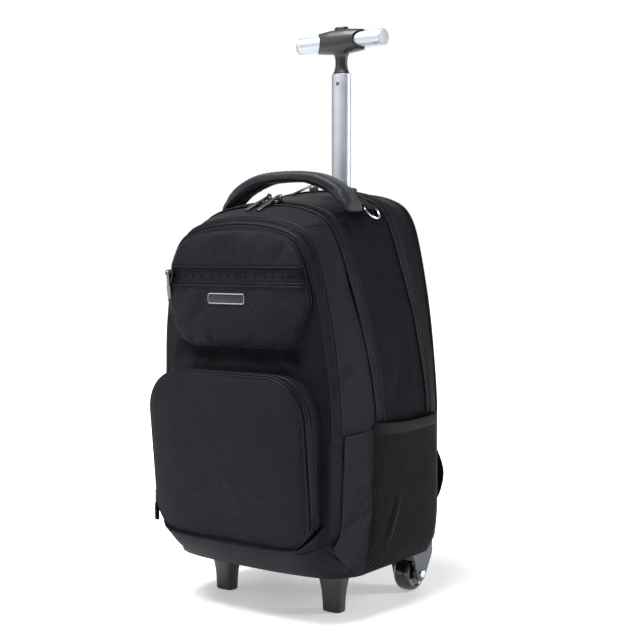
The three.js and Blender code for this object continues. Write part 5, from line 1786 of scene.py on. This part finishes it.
class GrabHandle:
    """The padded handle that arches over the top."""

    def __init__(self, body: Body, skin: Skin, sizes: GrabHandleSizes, wardrobe: Wardrobe) -> None:
        """Keeps what it is sewn to."""
        self.body, self.skin, self.sizes, self.wardrobe = body, skin, sizes, wardrobe

    def line(self, count: int) -> tuple[Points, Points]:
        """The handle's middle line, and the direction out of its arch."""
        s = self.sizes
        x, z = np.array(HANDLE_PATH["x"]), np.array(HANDLE_PATH["z"])
        points = np.stack([s.half_span * x, np.full(len(x), self.body.depths.y(s.depth)),
                           s.foot + (s.top - s.thickness / 2 - s.foot) * z], axis=1)
        line = curve(points, count)
        along = unit(np.gradient(line, axis=0))
        out = np.stack([-along[:, 2], np.zeros(count), along[:, 0]], axis=1)
        return line, out

    def rings(self, count: int, grow: float = 0.0) -> Points:
        """The handle's sections along its line."""
        s = self.sizes
        line, out = self.line(count)
        share = np.linspace(0, 1, count)
        full = ease(np.minimum(share, 1 - share) / 0.12)
        width = s.end_width + (s.width - s.end_width) * full + grow
        thick = s.end_thickness + (s.thickness - s.end_thickness) * full + grow
        section = oval(1, 1, 28, 0.62)
        across = np.array([0.0, 1.0, 0.0])
        return (
            line[:, None]
            + section[None, :, :1] * width[:, None, None] * across
            + section[None, :, 1:] * thick[:, None, None] * out[:, None]
        )

    def build(self) -> None:
        """Builds the handle, its edge seams and its sewn ends."""
        s = self.sizes
        facets = Facets()
        facets.loft(self.rings(110))
        piece = facets.build("handle_pad", 60)

        def held(points: Points) -> Points:
            """Holds the two sewn ends."""
            return (points[:, 2] < s.foot + 16 * MM).astype(float)

        Filling(0.0, 3.0, 16, 1.8 * MM, 0.015).puff(piece, held)
        # the handle's lighter colour is painted sheen for the light on its top
        self.wardrobe.dress(piece, HANDLE_NYLON_PAINTED_SHEEN, "cloth", replaces=["grab_handle"])
        pad = Skin(piece)
        maker = Haberdashery("handle_seams", BandSizes(), self.wardrobe)
        line, out = self.line(160)
        across = np.array([0.0, 1.0, 0.0])
        for edge in (-1, 1):
            seat, normal = pad.nearest(line + edge * across * s.width * 0.6 - out * s.thickness * 0.3)
            maker.cord(seat[6:-6], normal[6:-6], 0.1 * MM, 0.7 * MM)
            seat, normal = pad.nearest(line + edge * across * s.width * 0.3 + out * s.thickness)
            maker.run_stitches(seat[6:-6], normal[6:-6])
            seat, normal = pad.nearest(line + edge * across * s.width * 0.32 - out * s.thickness)
            maker.run_stitches(seat[6:-6], normal[6:-6])
        maker.build()
        for name, side in SIDES.items():
            self.patch(name, side)

    def patch(self, name: str, side: int) -> None:
        """The patch that holds one end, lying on the bag's top."""
        s = self.sizes
        middle = self.body.depths.y(s.depth)
        x, y = np.meshgrid(np.linspace(-14, 12, 14) * MM, np.linspace(-24, 24, 20) * MM, indexing="ij")
        start = np.stack([side * (s.half_span + x.ravel()), middle + y.ravel(), np.full(x.size, 1.0)], axis=1)
        seat, out = self.skin.along(start, (0, 0, -1))
        rise = np.minimum(1, 6 * np.minimum(
            np.minimum(x.ravel() / MM + 14, 12 - x.ravel() / MM) / 26,
            np.minimum(y.ravel() / MM + 24, 24 - y.ravel() / MM) / 48,
        ))
        lift = 0.1 * MM + 1.3 * MM * np.sqrt(np.maximum(rise, 0))
        points = (seat + lift[:, None] * out).reshape(14, 20, 3)
        facets = Facets()
        facets.grid(points)
        piece = facets.build(f"handle_patch_{name}", 70)
        self.wardrobe.dress(piece, SIDE_NYLON, "trim", replaces=[f"handle_tab_{name}"])
        maker = Haberdashery(f"patch_seams_{name}", BandSizes(), self.wardrobe)
        outs = out.reshape(14, 20, 3)
        loop = [(2, j) for j in range(2, 18)] + [(i, 17) for i in range(2, 12)]
        loop += [(11, j) for j in range(17, 1, -1)] + [(i, 2) for i in range(11, 1, -1)]
        line = np.array([points[k] for k in loop])
        maker.run_stitches(line, np.array([outs[k] for k in loop]))
        maker.build()


@dataclass(frozen=True)
class StrapSizes:
    """The shoulder straps and their webbing."""

    width: float = 58 * MM
    thickness: float = 11 * MM
    spacing: float = 62 * MM
    pad_face: float = 187.3 * MM
    webbing: float = 25 * MM
    webbing_thickness: float = 2 * MM


STRAP_PATH: Table = {
    "out": (0.56, 0.58, 0.62, 0.74, 0.98, 1.2, 1.38),
    "back": (-7.5, -3.5, 6, 19, 24, 20, 13),
    "height": (486, 468, 450, 428, 390, 320, 245),
}
WEB_PATH: Table = {
    "out": (1.8, 1.84, 1.98, 1.94, 1.72, 1.4),
    "back": (1.3, 1.3, 8, 20, 20, 14),
    "height": (96, 112, 132, 158, 190, 215.8),
}


class ShoulderStraps:
    """The two padded straps with their webbing."""

    def __init__(self, body: Body, pad: Skin, sizes: StrapSizes, wardrobe: Wardrobe) -> None:
        """Keeps what they hang on."""
        self.body, self.pad, self.sizes, self.wardrobe = body, pad, sizes, wardrobe

    def line(self, path: Table, side: int, count: int) -> Points:
        """A strap's middle line on one side."""
        s = self.sizes
        points = np.stack([
            side * s.spacing * np.array(path["out"]),
            self.body.depths.y(s.pad_face + np.array(path["back"]) * MM),
            np.array(path["height"]) * MM,
        ], axis=1)
        return curve(points, count)

    def build(self) -> None:
        """Builds both sides."""
        s = self.sizes
        for name, side in SIDES.items():
            line = self.line(STRAP_PATH, side, 80)
            along = unit(np.gradient(line, axis=0))
            sideways = np.tile((1.0, 0.0, 0.0), (len(line), 1))
            out = unit(np.cross(along, sideways))
            out *= np.where(out[:, 1:2] < 0, -1, 1)
            facets = Facets()
            facets.sweep(line, out, oval(s.width, s.thickness, 36, 0.5))
            strap = facets.build(f"strap_{name}", 60)

            def held(points: Points) -> Points:
                """Holds the two sewn ends."""
                ends = (points[:, 2] > 474 * MM) | (points[:, 2] < 252 * MM)
                return ends.astype(float)

            Filling(0.0, 3.0, 14, 2.0 * MM, 0.01).puff(strap, held)
            self.wardrobe.dress(strap, SIDE_NYLON, "cloth", replaces=[f"shoulder_strap_{name}"])
            maker = Haberdashery(f"strap_trim_{name}", BandSizes(), self.wardrobe)
            skin = Skin(strap)
            across = unit(np.cross(along, out))
            for edge in (-1, 1):
                seat, normal = skin.nearest(line + edge * across * s.width * 0.7)
                maker.cord(seat, normal, 0.1 * MM, 1.3 * MM)
                seat, normal = skin.nearest(line + edge * across * s.width * 0.42 + out * s.thickness)
                maker.run_stitches(seat, normal)
            maker.build()
            web = self.line(WEB_PATH, side, 60)
            facets = Facets()
            facets.sweep(web, self.outward(web), oval(s.webbing, s.webbing_thickness, 20, 0.35))
            webbing = facets.build(f"webbing_{name}", 50)
            self.wardrobe.dress(webbing, TRIM, "trim", replaces=[f"lower_webbing_{name}"])

    def outward(self, line: Points) -> Points:
        """The direction away from the back along a strap's line."""
        along = unit(np.gradient(line, axis=0))
        out = unit(np.cross(along, np.tile((1.0, 0.0, 0.0), (len(line), 1))))
        return out * np.where(out[:, 1:2] < 0, -1, 1)


@dataclass(frozen=True)
class BackPadSizes:
    """The pad on the wearer's back."""

    thickness: float = 12 * MM
    gap: float = 0.3 * MM


class BackPad:
    """The padded back, with two long channels for air."""

    def __init__(self, body: Body, sizes: BackPadSizes, wardrobe: Wardrobe) -> None:
        """Keeps the body it closes."""
        self.body, self.sizes, self.wardrobe = body, sizes, wardrobe

    def build(self) -> Skin:
        """Builds the pad and its bound edge."""
        body, s = self.body, self.sizes
        places = body.ring(360)
        rim = body.surface(places, np.full(len(places), body.sizes.rear))
        outline = rim[:, [0, 2]]
        corners = [int(len(outline) * share) for share in (0.925, 0.075, 0.4, 0.6)]
        flat = patch(outline, corners, 84, 60, 0.4).reshape(-1, 2)
        row = body.row(np.full(len(flat), body.sizes.rear))
        height = np.maximum(flat[:, 1], body.sizes.shoulder)
        y = body.depths.y(body.lean(np.full(len(flat), body.sizes.rear), row, height)) + s.gap
        edge = np.clip(from_edge(flat, outline) / (10 * MM), 0, 1)
        lift = s.thickness * np.sqrt(np.maximum(1 - (1 - edge) ** 2, 0))
        front = np.column_stack([flat[:, 0], y + lift, flat[:, 1]]).reshape(84, 60, 3)
        back = np.column_stack([flat[:, 0], y - 1.5 * MM * edge, flat[:, 1]]).reshape(84, 60, 3)
        facets = Facets()
        facets.pillow(front, back)
        piece = facets.build("back_pad", 60)

        def held(points: Points) -> Points:
            """Holds the pad's inner face and its rim."""
            high = np.maximum(points[:, 2], body.sizes.shoulder)
            rear = np.full(len(points), body.sizes.rear)
            face = body.depths.y(body.lean(rear, body.row(rear), high))
            return (points[:, 1] - face < 0.5 * s.thickness).astype(float)

        Filling(0.0, 3.0, 12, 2.0 * MM, 0.01).puff(piece, held)
        points = coordinates(piece)
        behind = ease((points[:, 1] - body.depths.y(body.sizes.rear - 12 * MM)) / (16 * MM))
        height = ease((points[:, 2] - 110 * MM) / (30 * MM)) * ease((500 * MM - points[:, 2]) / (30 * MM))
        for x in (-46 * MM, 46 * MM):
            points[:, 1] -= 3.5 * MM * behind * height * np.exp(-(((points[:, 0] - x) / (8 * MM)) ** 2))
        place_points(piece, points)
        self.wardrobe.dress(piece, SIDE_NYLON, "cloth", replaces=["back_panel"])
        skin = Skin(piece)
        maker = Haberdashery("back_trim", BandSizes(), self.wardrobe)
        seam = np.vstack([rim, rim[:1]]) + (0, 1 * MM, 0)
        centre = np.array([0.0, 0.0, outline[:, 1].mean()])
        maker.cord(seam, unit((seam - centre) * (1, 0, 1)), 0.0, 1.9 * MM)
        maker.build()
        return skin


class Ring:
    """The D-ring in its webbing tab, on the right shoulder."""

    def __init__(self, frame: dict, wardrobe: Wardrobe) -> None:
        """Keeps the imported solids."""
        self.frame, self.wardrobe = frame, wardrobe

    def build(self) -> None:
        """Dresses the ring and its tab, with their facets rounded."""
        for node, finish, slot, level in (("d_ring", CHROME, "steel", 2), ("d_ring_tab", TRIM, "trim", 0)):
            solid = self.frame["nodes"][node]
            weld = solid.modifiers.new("weld", "WELD")
            weld.merge_threshold = 0.00001
            if level:
                smooth = solid.modifiers.new("round", "SUBSURF")
                smooth.levels = smooth.render_levels = level
            solid.data.shade_smooth()
            if not level:
                soft = solid.modifiers.new("edge", "BEVEL")
                soft.width = 0.5 * MM
                soft.segments = 2
            self.wardrobe.dress(solid, finish, slot, body=None)


class Fittings:
    """The hard solids that are shown as they are, with their edges rounded."""

    rounded = {
        "badge_plate": (BLACK, "black_plastic", 0.6),
        "buckle_left": (BLACK, "black_plastic", 0.8),
        "buckle_right": (BLACK, "black_plastic", 0.8),
        "lock_pin": (GUNMETAL, "gunmetal", 0.3),
    }

    def __init__(self, frame: dict, wardrobe: Wardrobe) -> None:
        """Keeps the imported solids."""
        self.frame, self.wardrobe = frame, wardrobe

    def round_edges(self, node: str, finish: HardFinish, slot: str, width: float) -> None:
        """Rounds a solid's edges and dresses it."""
        solid = self.frame["nodes"][node]
        weld = solid.modifiers.new("weld", "WELD")
        weld.merge_threshold = 0.00001
        edge = solid.modifiers.new("edge", "BEVEL")
        edge.width = width * MM
        edge.segments = 3
        edge.limit_method = "ANGLE"
        edge.angle_limit = math.radians(32)
        edge.harden_normals = False
        solid.data.shade_smooth()
        solid.data.set_sharp_from_angle(angle=math.radians(40))
        self.wardrobe.dress(solid, finish, slot, body=None)

    def build(self) -> None:
        """Dresses them all."""
        for node, (finish, slot, width) in self.rounded.items():
            self.round_edges(node, finish, slot, width)
        for node in self.frame["nodes"]:
            if node.startswith("slider_"):
                self.round_edges(node, GUNMETAL, "gunmetal", 0.9)
            elif node.startswith("pull_"):
                self.round_edges(node, GUNMETAL, "gunmetal", 0.7)
                self.link(node)

    def link(self, node: str) -> None:
        """The wire eye that joins a pull to its slider."""
        pull = self.frame["nodes"][node]
        slider = self.frame["nodes"][node.replace("pull_", "slider_")]
        head = coordinates(slider).mean(axis=0)
        points = coordinates(pull)
        near = points[np.argsort(np.linalg.norm(points - head, axis=1))[:4]].mean(axis=0)
        toward = unit(points.mean(axis=0) - near)
        middle = near + toward * 1.5 * MM
        up = unit(middle - head + 1e-6)
        up = unit(up - toward * float(up @ toward))
        angle = np.linspace(0, 2 * np.pi, 25)[:-1]
        loop = middle + 3.4 * MM * np.cos(angle)[:, None] * toward + 2.9 * MM * np.sin(angle)[:, None] * up
        facets = Facets()
        across = np.tile(np.cross(toward, up), (len(loop), 1))
        facets.tube(loop, across, 0.8 * MM, 8, closed=True)
        piece = facets.build(node.replace("pull_", "eye_"), 60)
        self.wardrobe.dress(piece, GUNMETAL, "gunmetal")


# The pole and the T-handle


@dataclass(frozen=True)
class PoleSizes:
    """The telescopic pole, its sleeve and its collar."""

    depth: float = 145 * MM
    width: float = 28.5 * MM
    thickness: float = 19 * MM
    top: float = 716 * MM
    length: float = 440 * MM
    roundness: float = 0.8


class Pole:
    """The sliding tube, and the fixed sleeve and collar round it."""

    def __init__(self, depths: Depths, sizes: PoleSizes, wardrobe: Wardrobe) -> None:
        """Keeps where the pole stands."""
        self.depths, self.sizes, self.wardrobe = depths, sizes, wardrobe

    def ring(self, grow: float, height: float) -> Points:
        """A ring of the pole's section, grown by an amount."""
        s = self.sizes
        ring = at_height(oval(s.width + 2 * grow, s.thickness + 2 * grow, 64, s.roundness), height)
        return ring + (0, self.depths.y(s.depth), 0)

    def pipe(self, name: str, outer: float, inner: float, low: float, high: float) -> bpy.types.Object:
        """An open tube between two heights."""
        facets = Facets()
        edge = 0.3 * MM
        rings = [(outer - edge, low), (outer, low + edge), (outer, high - edge), (outer - edge, high),
                 (inner, high), (inner, low)]
        facets.grid(np.array([self.ring(grow, z) for grow, z in rings]), around=True, along=True)
        return facets.build(name, 40)

    def build(self) -> None:
        """Builds the tube, the sleeve and the collar."""
        s = self.sizes
        tube = self.pipe("pole", 0, -1.4 * MM, s.top - s.length, s.top - 0.3 * MM)
        self.wardrobe.dress(tube, ALUMINIUM, "steel", "pole", ["pole_tube"])
        low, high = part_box("pole_sleeve")
        sleeve = self.pipe("sleeve", 2.0 * MM, 0.4 * MM, low.z, high.z)
        self.wardrobe.dress(sleeve, ALUMINIUM, "steel", replaces=["pole_sleeve"])
        low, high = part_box("pole_collar")
        facets = Facets()
        rows = ((8.6, high.z - 8 * MM), (8.4, high.z - 3 * MM), (7.6, high.z - 0.9 * MM), (6.4, high.z),
                (2.4, high.z),
                (2.3, high.z - 8 * MM))
        facets.grid(np.array([self.ring(grow * MM, z) for grow, z in rows]), around=True, along=True)
        collar = facets.build("collar", 50)
        self.wardrobe.dress(collar, BLACK, "black_plastic", replaces=["pole_collar"])


HUB_ROWS: Table = {
    "along": (-1, -0.6, -0.25, 0.25, 0.6, 1),
    "height": (0.82, 0.93, 1, 1, 0.93, 0.82),
    "width": (0.84, 0.95, 1, 1, 0.95, 0.84),
}
NECK_ROWS: Table = {
    "drop": (-0.5, 0, 0.2, 0.5, 0.78, 1),
    "width": (1.7, 1.3, 1.06, 1, 1.15, 1.56),
    "depth": (1.5, 1.12, 0.92, 0.86, 0.92, 1.06),
}


@dataclass(frozen=True)
class GripSizes:
    """The T-handle."""

    height: float = 761 * MM
    length: float = 140 * MM
    diameter: float = 23 * MM
    hub_length: float = 80 * MM
    hub_height: float = 34 * MM
    hub_width: float = 31 * MM
    scoop: float = 14 * MM
    scoop_setback: float = 2 * MM
    waist: float = 17.6 * MM
    neck: float = 28 * MM
    button: tuple[float, float, float] = (22 * MM, 12 * MM, 3.6 * MM)


class THandle:
    """The moulded hub, the through tube, its caps and the push button."""

    def __init__(self, depths: Depths, sizes: GripSizes, wardrobe: Wardrobe) -> None:
        """Keeps where the pole stands."""
        self.depths, self.sizes, self.wardrobe = depths, sizes, wardrobe
        self.middle = np.array([0.0, depths.y(PoleSizes().depth), sizes.height])

    def hub(self) -> None:
        """The hub with its scooped ends and waisted neck."""
        s = self.sizes
        along = np.linspace(-1, 1, 41)
        height = monotone(along, HUB_ROWS, "along", "height")
        width = monotone(along, HUB_ROWS, "along", "width")
        facets = Facets()
        rings = []
        for a, h, w in zip(along, height, width):
            ring = oval(s.hub_height * h, s.hub_width * w, 56, 0.9)
            rings.append(np.stack([np.full(56, a * s.hub_length / 2), ring[:, 1], ring[:, 0]],
                                  axis=1) + self.middle)
        facets.loft(np.array(rings))
        hub = facets.build("hub", 60)
        drop = np.linspace(-0.5, 1, 34)
        facets = Facets()
        rings = []
        for d, w, t in zip(drop, monotone(drop, NECK_ROWS, "drop", "width"),
                           monotone(drop, NECK_ROWS, "drop", "depth")):
            ring = at_height(oval(s.waist * w, s.waist * t, 56), -s.hub_height / 2 - s.neck * d)
            rings.append(ring + self.middle)
        facets.loft(np.array(rings))
        cut(hub, facets.build("neck", 60), "UNION")
        for side in SIDES.values():
            facets = Facets()
            circle = oval(2 * s.scoop, 2 * s.scoop, 64)
            middle = self.middle + (side * (s.hub_length / 2 + s.scoop_setback), 0, 0)
            facets.loft(np.array([
                np.stack([circle[:, 0], np.full(64, y), circle[:, 1]], axis=1) + middle for y in (-0.04, 0.04)
            ]))
            cut(hub, facets.build("scoop", 60))
        soften(hub, 0.85 * MM, 4)
        self.wardrobe.dress(hub, BLACK, "black_plastic", "pole", ["handle_hub"])

    def turned(self, name: str, rows: Sequence[tuple[float, float]]) -> bpy.types.Object:
        """A round piece about X through (radius, x) rows."""
        circle = oval(2, 2, 48)
        rings = [
            np.stack([np.full(48, x), circle[:, 0] * radius, circle[:, 1] * radius], axis=1) + self.middle
            for radius, x in rows
        ]
        facets = Facets()
        facets.loft(np.array(rings))
        return facets.build(name, 35)

    def build(self) -> None:
        """Builds the whole handle."""
        s = self.sizes
        self.hub()
        half, radius = s.length / 2, s.diameter / 2
        tube = self.turned("grip", [(radius - 0.4 * MM, -half), (radius, -half + 0.5 * MM),
                                    (radius, half - 0.5 * MM),
                                    (radius - 0.4 * MM, half)])
        self.wardrobe.dress(tube, ALUMINIUM, "steel", "pole", ["grip_tube"])
        for name, side in SIDES.items():
            rows = [(radius, 0.3), (radius, 1.2), (radius - 0.3 * MM, 1.9), (radius - 1.2 * MM, 2.3),
                    (0.3 * MM, 2.4)]
            cap = self.turned(f"cap_{name}", [(r, side * (half + x * MM)) for r, x in rows])
            self.wardrobe.dress(cap, CAP_GREY, "grey_plastic", "pole", [f"end_cap_{name}"])
        length, width, rise = s.button
        facets = Facets()
        rings = []
        for grow, z in ((0, -1.3), (0, 1.6), (-0.5, 2.6), (-1.8, 3.3), (-5, 3.6), (-9, 3.75)):
            ring = oval(length + grow * MM, max(width + grow * MM, 2 * MM), 40)
            rings.append(at_height(ring, s.hub_height / 2 + z * MM) + self.middle)
        facets.loft(np.array(rings))
        button = facets.build("button", 40)
        self.wardrobe.dress(button, BLACK, "black_plastic", "button", ["push_button"])


# Feet and wheels


FOOT_ROWS: Table = {
    "height": (0, 0.012, 0.04, 0.2, 0.45, 0.65, 0.8, 0.92, 1),
    "width": (0.64, 0.68, 0.69, 0.7, 0.755, 0.845, 0.93, 1.01, 1.05),
    "depth": (0.56, 0.61, 0.63, 0.66, 0.72, 0.82, 0.92, 1.0, 1.04),
}
HOUSING_ROWS: Table = {
    "back": (-1.25, -1.2, -0.82, -0.4, -0.26, 0, 0.28, 0.44, 1.08, 1.14, 1.08),
    "up": (1.9, 1.2, 1.0, -0.12, -0.34, -0.42, -0.32, -0.1, 0.92, 1.35, 2.1),
}


@dataclass(frozen=True)
class FootSizes:
    """A front foot."""

    spacing: float = 91 * MM
    width: float = 41 * MM
    depth: float = 32 * MM
    height: float = 56.7 * MM


@dataclass(frozen=True)
class WheelSizes:
    """A wheel, its housing and its axle."""

    radius: float = 25 * MM
    width: float = 24 * MM
    spacing: float = 117 * MM
    depth: float = 143 * MM
    cheek_inside: float = 16 * MM
    cheek_outside: float = 20 * MM


class RunningGear:
    """The two feet in front and the two wheels behind."""

    def __init__(self, depths: Depths, foot: FootSizes, wheel: WheelSizes, wardrobe: Wardrobe) -> None:
        """Keeps the sizes."""
        self.depths, self.foot, self.wheel, self.wardrobe = depths, foot, wheel, wardrobe

    def build_foot(self, name: str, side: int) -> None:
        """Builds a foot."""
        s = self.foot
        heights = np.linspace(0, 1, 40) ** 1.15
        rings = []
        for h in heights:
            at = np.array([h])
            width = s.width * monotone(at, FOOT_ROWS, "height", "width")[0]
            depth = s.depth * monotone(at, FOOT_ROWS, "height", "depth")[0]
            rings.append(at_height(oval(width, depth, 64, 0.55), s.height * h) + (side * s.spacing,
                                                                                  self.depths.feet, 0))
        facets = Facets()
        facets.loft(np.array(rings))
        piece = facets.build(f"front_foot_{name}", 50)
        self.wardrobe.dress(piece, BLACK, "black_plastic", replaces=[f"foot_{name}"])

    def about_axle(self, side: int, rows: Sequence[tuple[float, float]], name: str,
                   closed: bool) -> bpy.types.Object:
        """A round piece about a wheel's axle through (radius, x) rows."""
        s = self.wheel
        circle = oval(2, 2, 64)
        middle = np.array([side * s.spacing, self.depths.y(s.depth), s.radius])
        rings = np.array([
            np.stack([np.full(64, x), circle[:, 0] * radius, circle[:, 1] * radius], axis=1) + middle
            for radius, x in rows
        ])
        facets = Facets()
        facets.loft(rings, hoop=closed)
        return facets.build(name, 40)

    def build_wheel(self, name: str, side: int) -> None:
        """Builds a wheel and its axle."""
        s = self.wheel
        half = s.width / 2
        near = [(4.4, half + 3 * MM), (7.6, half + 3 * MM), (8, half + 2.6 * MM), (9, half),
                (11, half - 1 * MM),
                (17, half - 1 * MM), (18, half - 0.2 * MM), (20, half), (21.8, half - 0.8 * MM),
                (23.4, half - 2.6 * MM),
                (24.5, half - 4.8 * MM), (25, half - 7.5 * MM), (25, 0.0)]
        rows = [(r * MM, x) for r, x in near] + [(r * MM, -x) for r, x in near[-2::-1]]
        wheel = self.about_axle(side, rows, f"tyre_{name}", True)
        self.wardrobe.dress(wheel, TYRE, "tyre", f"wheel_{name}", [f"wheel_{name}"])
        out = s.cheek_outside
        rows = [(4 * MM, -side * (out + 0.3 * MM)), (4 * MM, side * (out + 0.3 * MM))]
        rows += [(5.5 * MM, side * (out + 0.3 * MM)), (5.5 * MM, side * (out + 1.9 * MM)),
                 (5.0 * MM, side * (out + 2.7 * MM)), (3.4 * MM, side * (out + 3.2 * MM)),
                 (0.3 * MM, side * (out + 3.3 * MM))]
        axle = self.about_axle(side, rows, f"axle_pin_{name}", False)
        self.wardrobe.dress(axle, CHROME, "axle_steel", replaces=[f"axle_{name}"])

    def build_housing(self, name: str, side: int) -> None:
        """Builds a wheel's housing."""
        s = self.wheel
        table = np.column_stack([HOUSING_ROWS["back"], HOUSING_ROWS["up"]]) * s.radius
        outline = curve(table, 120)
        middle = np.array([side * s.spacing, self.depths.y(s.depth), s.radius])
        facets = Facets()
        facets.loft(np.array([
            np.stack([np.full(120, x), outline[:, 0], outline[:, 1]], axis=1) + middle
            for x in (-s.cheek_outside, s.cheek_outside)
        ]))
        housing = facets.build(f"housing_{name}", 40)
        well = s.radius + 2 * MM
        tool = self.about_axle(side, [(well, -s.cheek_inside), (well, s.cheek_inside)], "well", False)
        cut(housing, tool)
        soften(housing, 0.9 * MM, 2)
        self.wardrobe.dress(housing, SLATE, "grey_plastic", replaces=[f"wheel_housing_{name}"])

    def build(self) -> None:
        """Builds all of it."""
        for name, side in SIDES.items():
            self.build_foot(name, side)
            self.build_wheel(name, side)
            self.build_housing(name, side)


# The studio


@dataclass(frozen=True)
class StudioSizes:
    """The camera and the lights."""

    camera: tuple[float, float, float] = (0.9961, -1.2728, 0.4662)
    pitch: float = 3.204
    turn: float = 36.085
    lens: float = 68.5
    floor: float = 9.0
    backdrop: float = 1.0
    room: float = 0.22
    floor_glow: float = 0.36
    far_glow: float = 1.0
    glow_start: float = 0.55
    glow_end: float = 1.7


@dataclass(frozen=True)
class Lamp:
    """A soft rectangular light.

    Attributes:
        place: Where it stands.
        target: Where it points.
        size: Its sides.
        power: Its power in watts.
    """

    place: tuple[float, float, float]
    target: tuple[float, float, float]
    size: tuple[float, float]
    power: float


LAMPS = (
    Lamp((-1.8, -1.9, 1.5), (0, 0, 0.35), (1.3, 1.3), 13),
    Lamp((1.5, 1.1, 0.8), (0.14, 0.05, 0.35), (0.3, 1.4), 22),
    Lamp((-0.3, -0.7, 2.2), (0, 0, 0.3), (1.3, 1.1), 92),
)


class Studio:
    """The pale floor, the soft lights and the camera."""

    def __init__(self, depths: Depths, sizes: StudioSizes) -> None:
        """Keeps the sizes."""
        self.depths, self.sizes = depths, sizes

    def floor(self) -> None:
        """A wide pale floor with a painted glow of its own, weaker near the bag and full further off."""
        half = self.sizes.floor
        facets = Facets()
        x, y = np.meshgrid([-half, half], [-half, half])
        facets.grid(np.stack([x, y, np.zeros((2, 2))], axis=-1))
        floor = facets.build("floor")
        s = Shader("floor")
        s.surface.inputs["Base Color"].default_value = (0.9, 0.9, 0.915, 1)
        s.surface.inputs["Roughness"].default_value = 0.55
        s.surface.inputs["Specular IOR Level"].default_value = 0.15
        # painted glow: the floor gives off light of its own, weaker near the bag and full from glow_end on
        s.surface.inputs["Emission Color"].default_value = (1, 1, 1, 1)
        reach = s.add("ShaderNodeVectorMath", operation="LENGTH")
        s.feed(reach.inputs[0], s.add("ShaderNodeTexCoord").outputs["Object"])
        glow = s.add("ShaderNodeMapRange", interpolation_type="SMOOTHSTEP")
        s.feed(glow.inputs["Value"], reach.outputs["Value"])
        glow.inputs["From Min"].default_value = self.sizes.glow_start
        glow.inputs["From Max"].default_value = self.sizes.glow_end
        glow.inputs["To Min"].default_value = self.sizes.floor_glow
        glow.inputs["To Max"].default_value = self.sizes.far_glow
        s.feed(s.surface.inputs["Emission Strength"], glow.outputs["Result"])
        floor.data.materials.append(s.material)

    def lights(self) -> None:
        """The white backdrop, the darker room before it and the lamps."""
        world = bpy.data.worlds.new("studio")
        world.use_nodes = True
        nodes, links = world.node_tree.nodes, world.node_tree.links
        turn = math.radians(self.sizes.turn)
        facing = nodes.new("ShaderNodeVectorMath")
        facing.operation = "DOT_PRODUCT"
        facing.inputs[1].default_value = (-math.sin(turn), math.cos(turn), 0)
        links.new(nodes.new("ShaderNodeTexCoord").outputs["Generated"], facing.inputs[0])
        fade = nodes.new("ShaderNodeMapRange")
        fade.inputs["From Min"].default_value = 0.68
        fade.inputs["From Max"].default_value = 0.88
        fade.inputs["To Min"].default_value = self.sizes.room
        fade.inputs["To Max"].default_value = self.sizes.backdrop
        links.new(facing.outputs["Value"], fade.inputs["Value"])
        background = nodes["Background"]
        background.inputs["Color"].default_value = (1, 1, 1, 1)
        links.new(fade.outputs["Result"], background.inputs["Strength"])
        bpy.context.scene.world = world
        for number, lamp in enumerate(LAMPS):
            data = bpy.data.lights.new(f"lamp_{number}", "AREA")
            data.shape = "RECTANGLE"
            data.size, data.size_y = lamp.size
            data.energy = lamp.power
            light = bpy.data.objects.new(data.name, data)
            light.location = lamp.place
            aim = Vector(lamp.target) - Vector(lamp.place)
            light.rotation_euler = aim.to_track_quat("-Z", "Y").to_euler()
            bpy.context.scene.collection.objects.link(light)

    def camera(self) -> None:
        """The camera that the photo was taken with."""
        s = self.sizes
        data = bpy.data.cameras.new("camera")
        data.lens = s.lens
        camera = bpy.data.objects.new("camera", data)
        camera.location = (s.camera[0], self.depths.y(s.camera[1]), s.camera[2])
        camera.rotation_euler = (math.radians(90 - s.pitch), 0, math.radians(s.turn))
        bpy.context.scene.collection.objects.link(camera)
        bpy.context.scene.camera = camera

    def build(self) -> None:
        """Sets the studio up."""
        self.floor()
        self.lights()
        self.camera()
        bpy.context.scene.view_settings.view_transform = "Standard"


def main() -> None:
    """Builds the whole bag in order."""
    logging.basicConfig(level=logging.INFO, format="%(name)s: %(message)s")
    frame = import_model()
    depths = Depths()
    wardrobe = Wardrobe()
    body = Body(BodySizes(), depths)
    shells = Shells(body, ShellSizes(), wardrobe)
    front, rear = shells.front(), shells.main()
    ZipBands(body, front, rear, wardrobe).build()
    UpperPanel(body, front, PanelSizes(), wardrobe).build()
    FrontPocket(body, front, PocketSizes(), wardrobe).build()
    Boot(depths, front, rear, wardrobe).build()
    front_seams = Seams("front_seams", depths, wardrobe)
    front_seams.sew(FRONT_SEAMS, front)
    front_seams.build()
    main_seams = Seams("main_seams", depths, wardrobe)
    main_seams.sew(MAIN_SEAMS, rear)
    main_seams.build()
    for side in SIDES:
        MeshPocket(side, body, rear, MeshPocketSizes(), wardrobe).build()
    GrabHandle(body, rear, GrabHandleSizes(), wardrobe).build()
    back = BackPad(body, BackPadSizes(), wardrobe).build()
    ShoulderStraps(body, back, StrapSizes(), wardrobe).build()
    Ring(frame, wardrobe).build()
    Fittings(frame, wardrobe).build()
    Pole(depths, PoleSizes(), wardrobe).build()
    THandle(depths, GripSizes(), wardrobe).build()
    RunningGear(depths, FootSizes(), WheelSizes(), wardrobe).build()
    Studio(depths, StudioSizes()).build()
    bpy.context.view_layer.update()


if __name__ == "__main__":
    main()
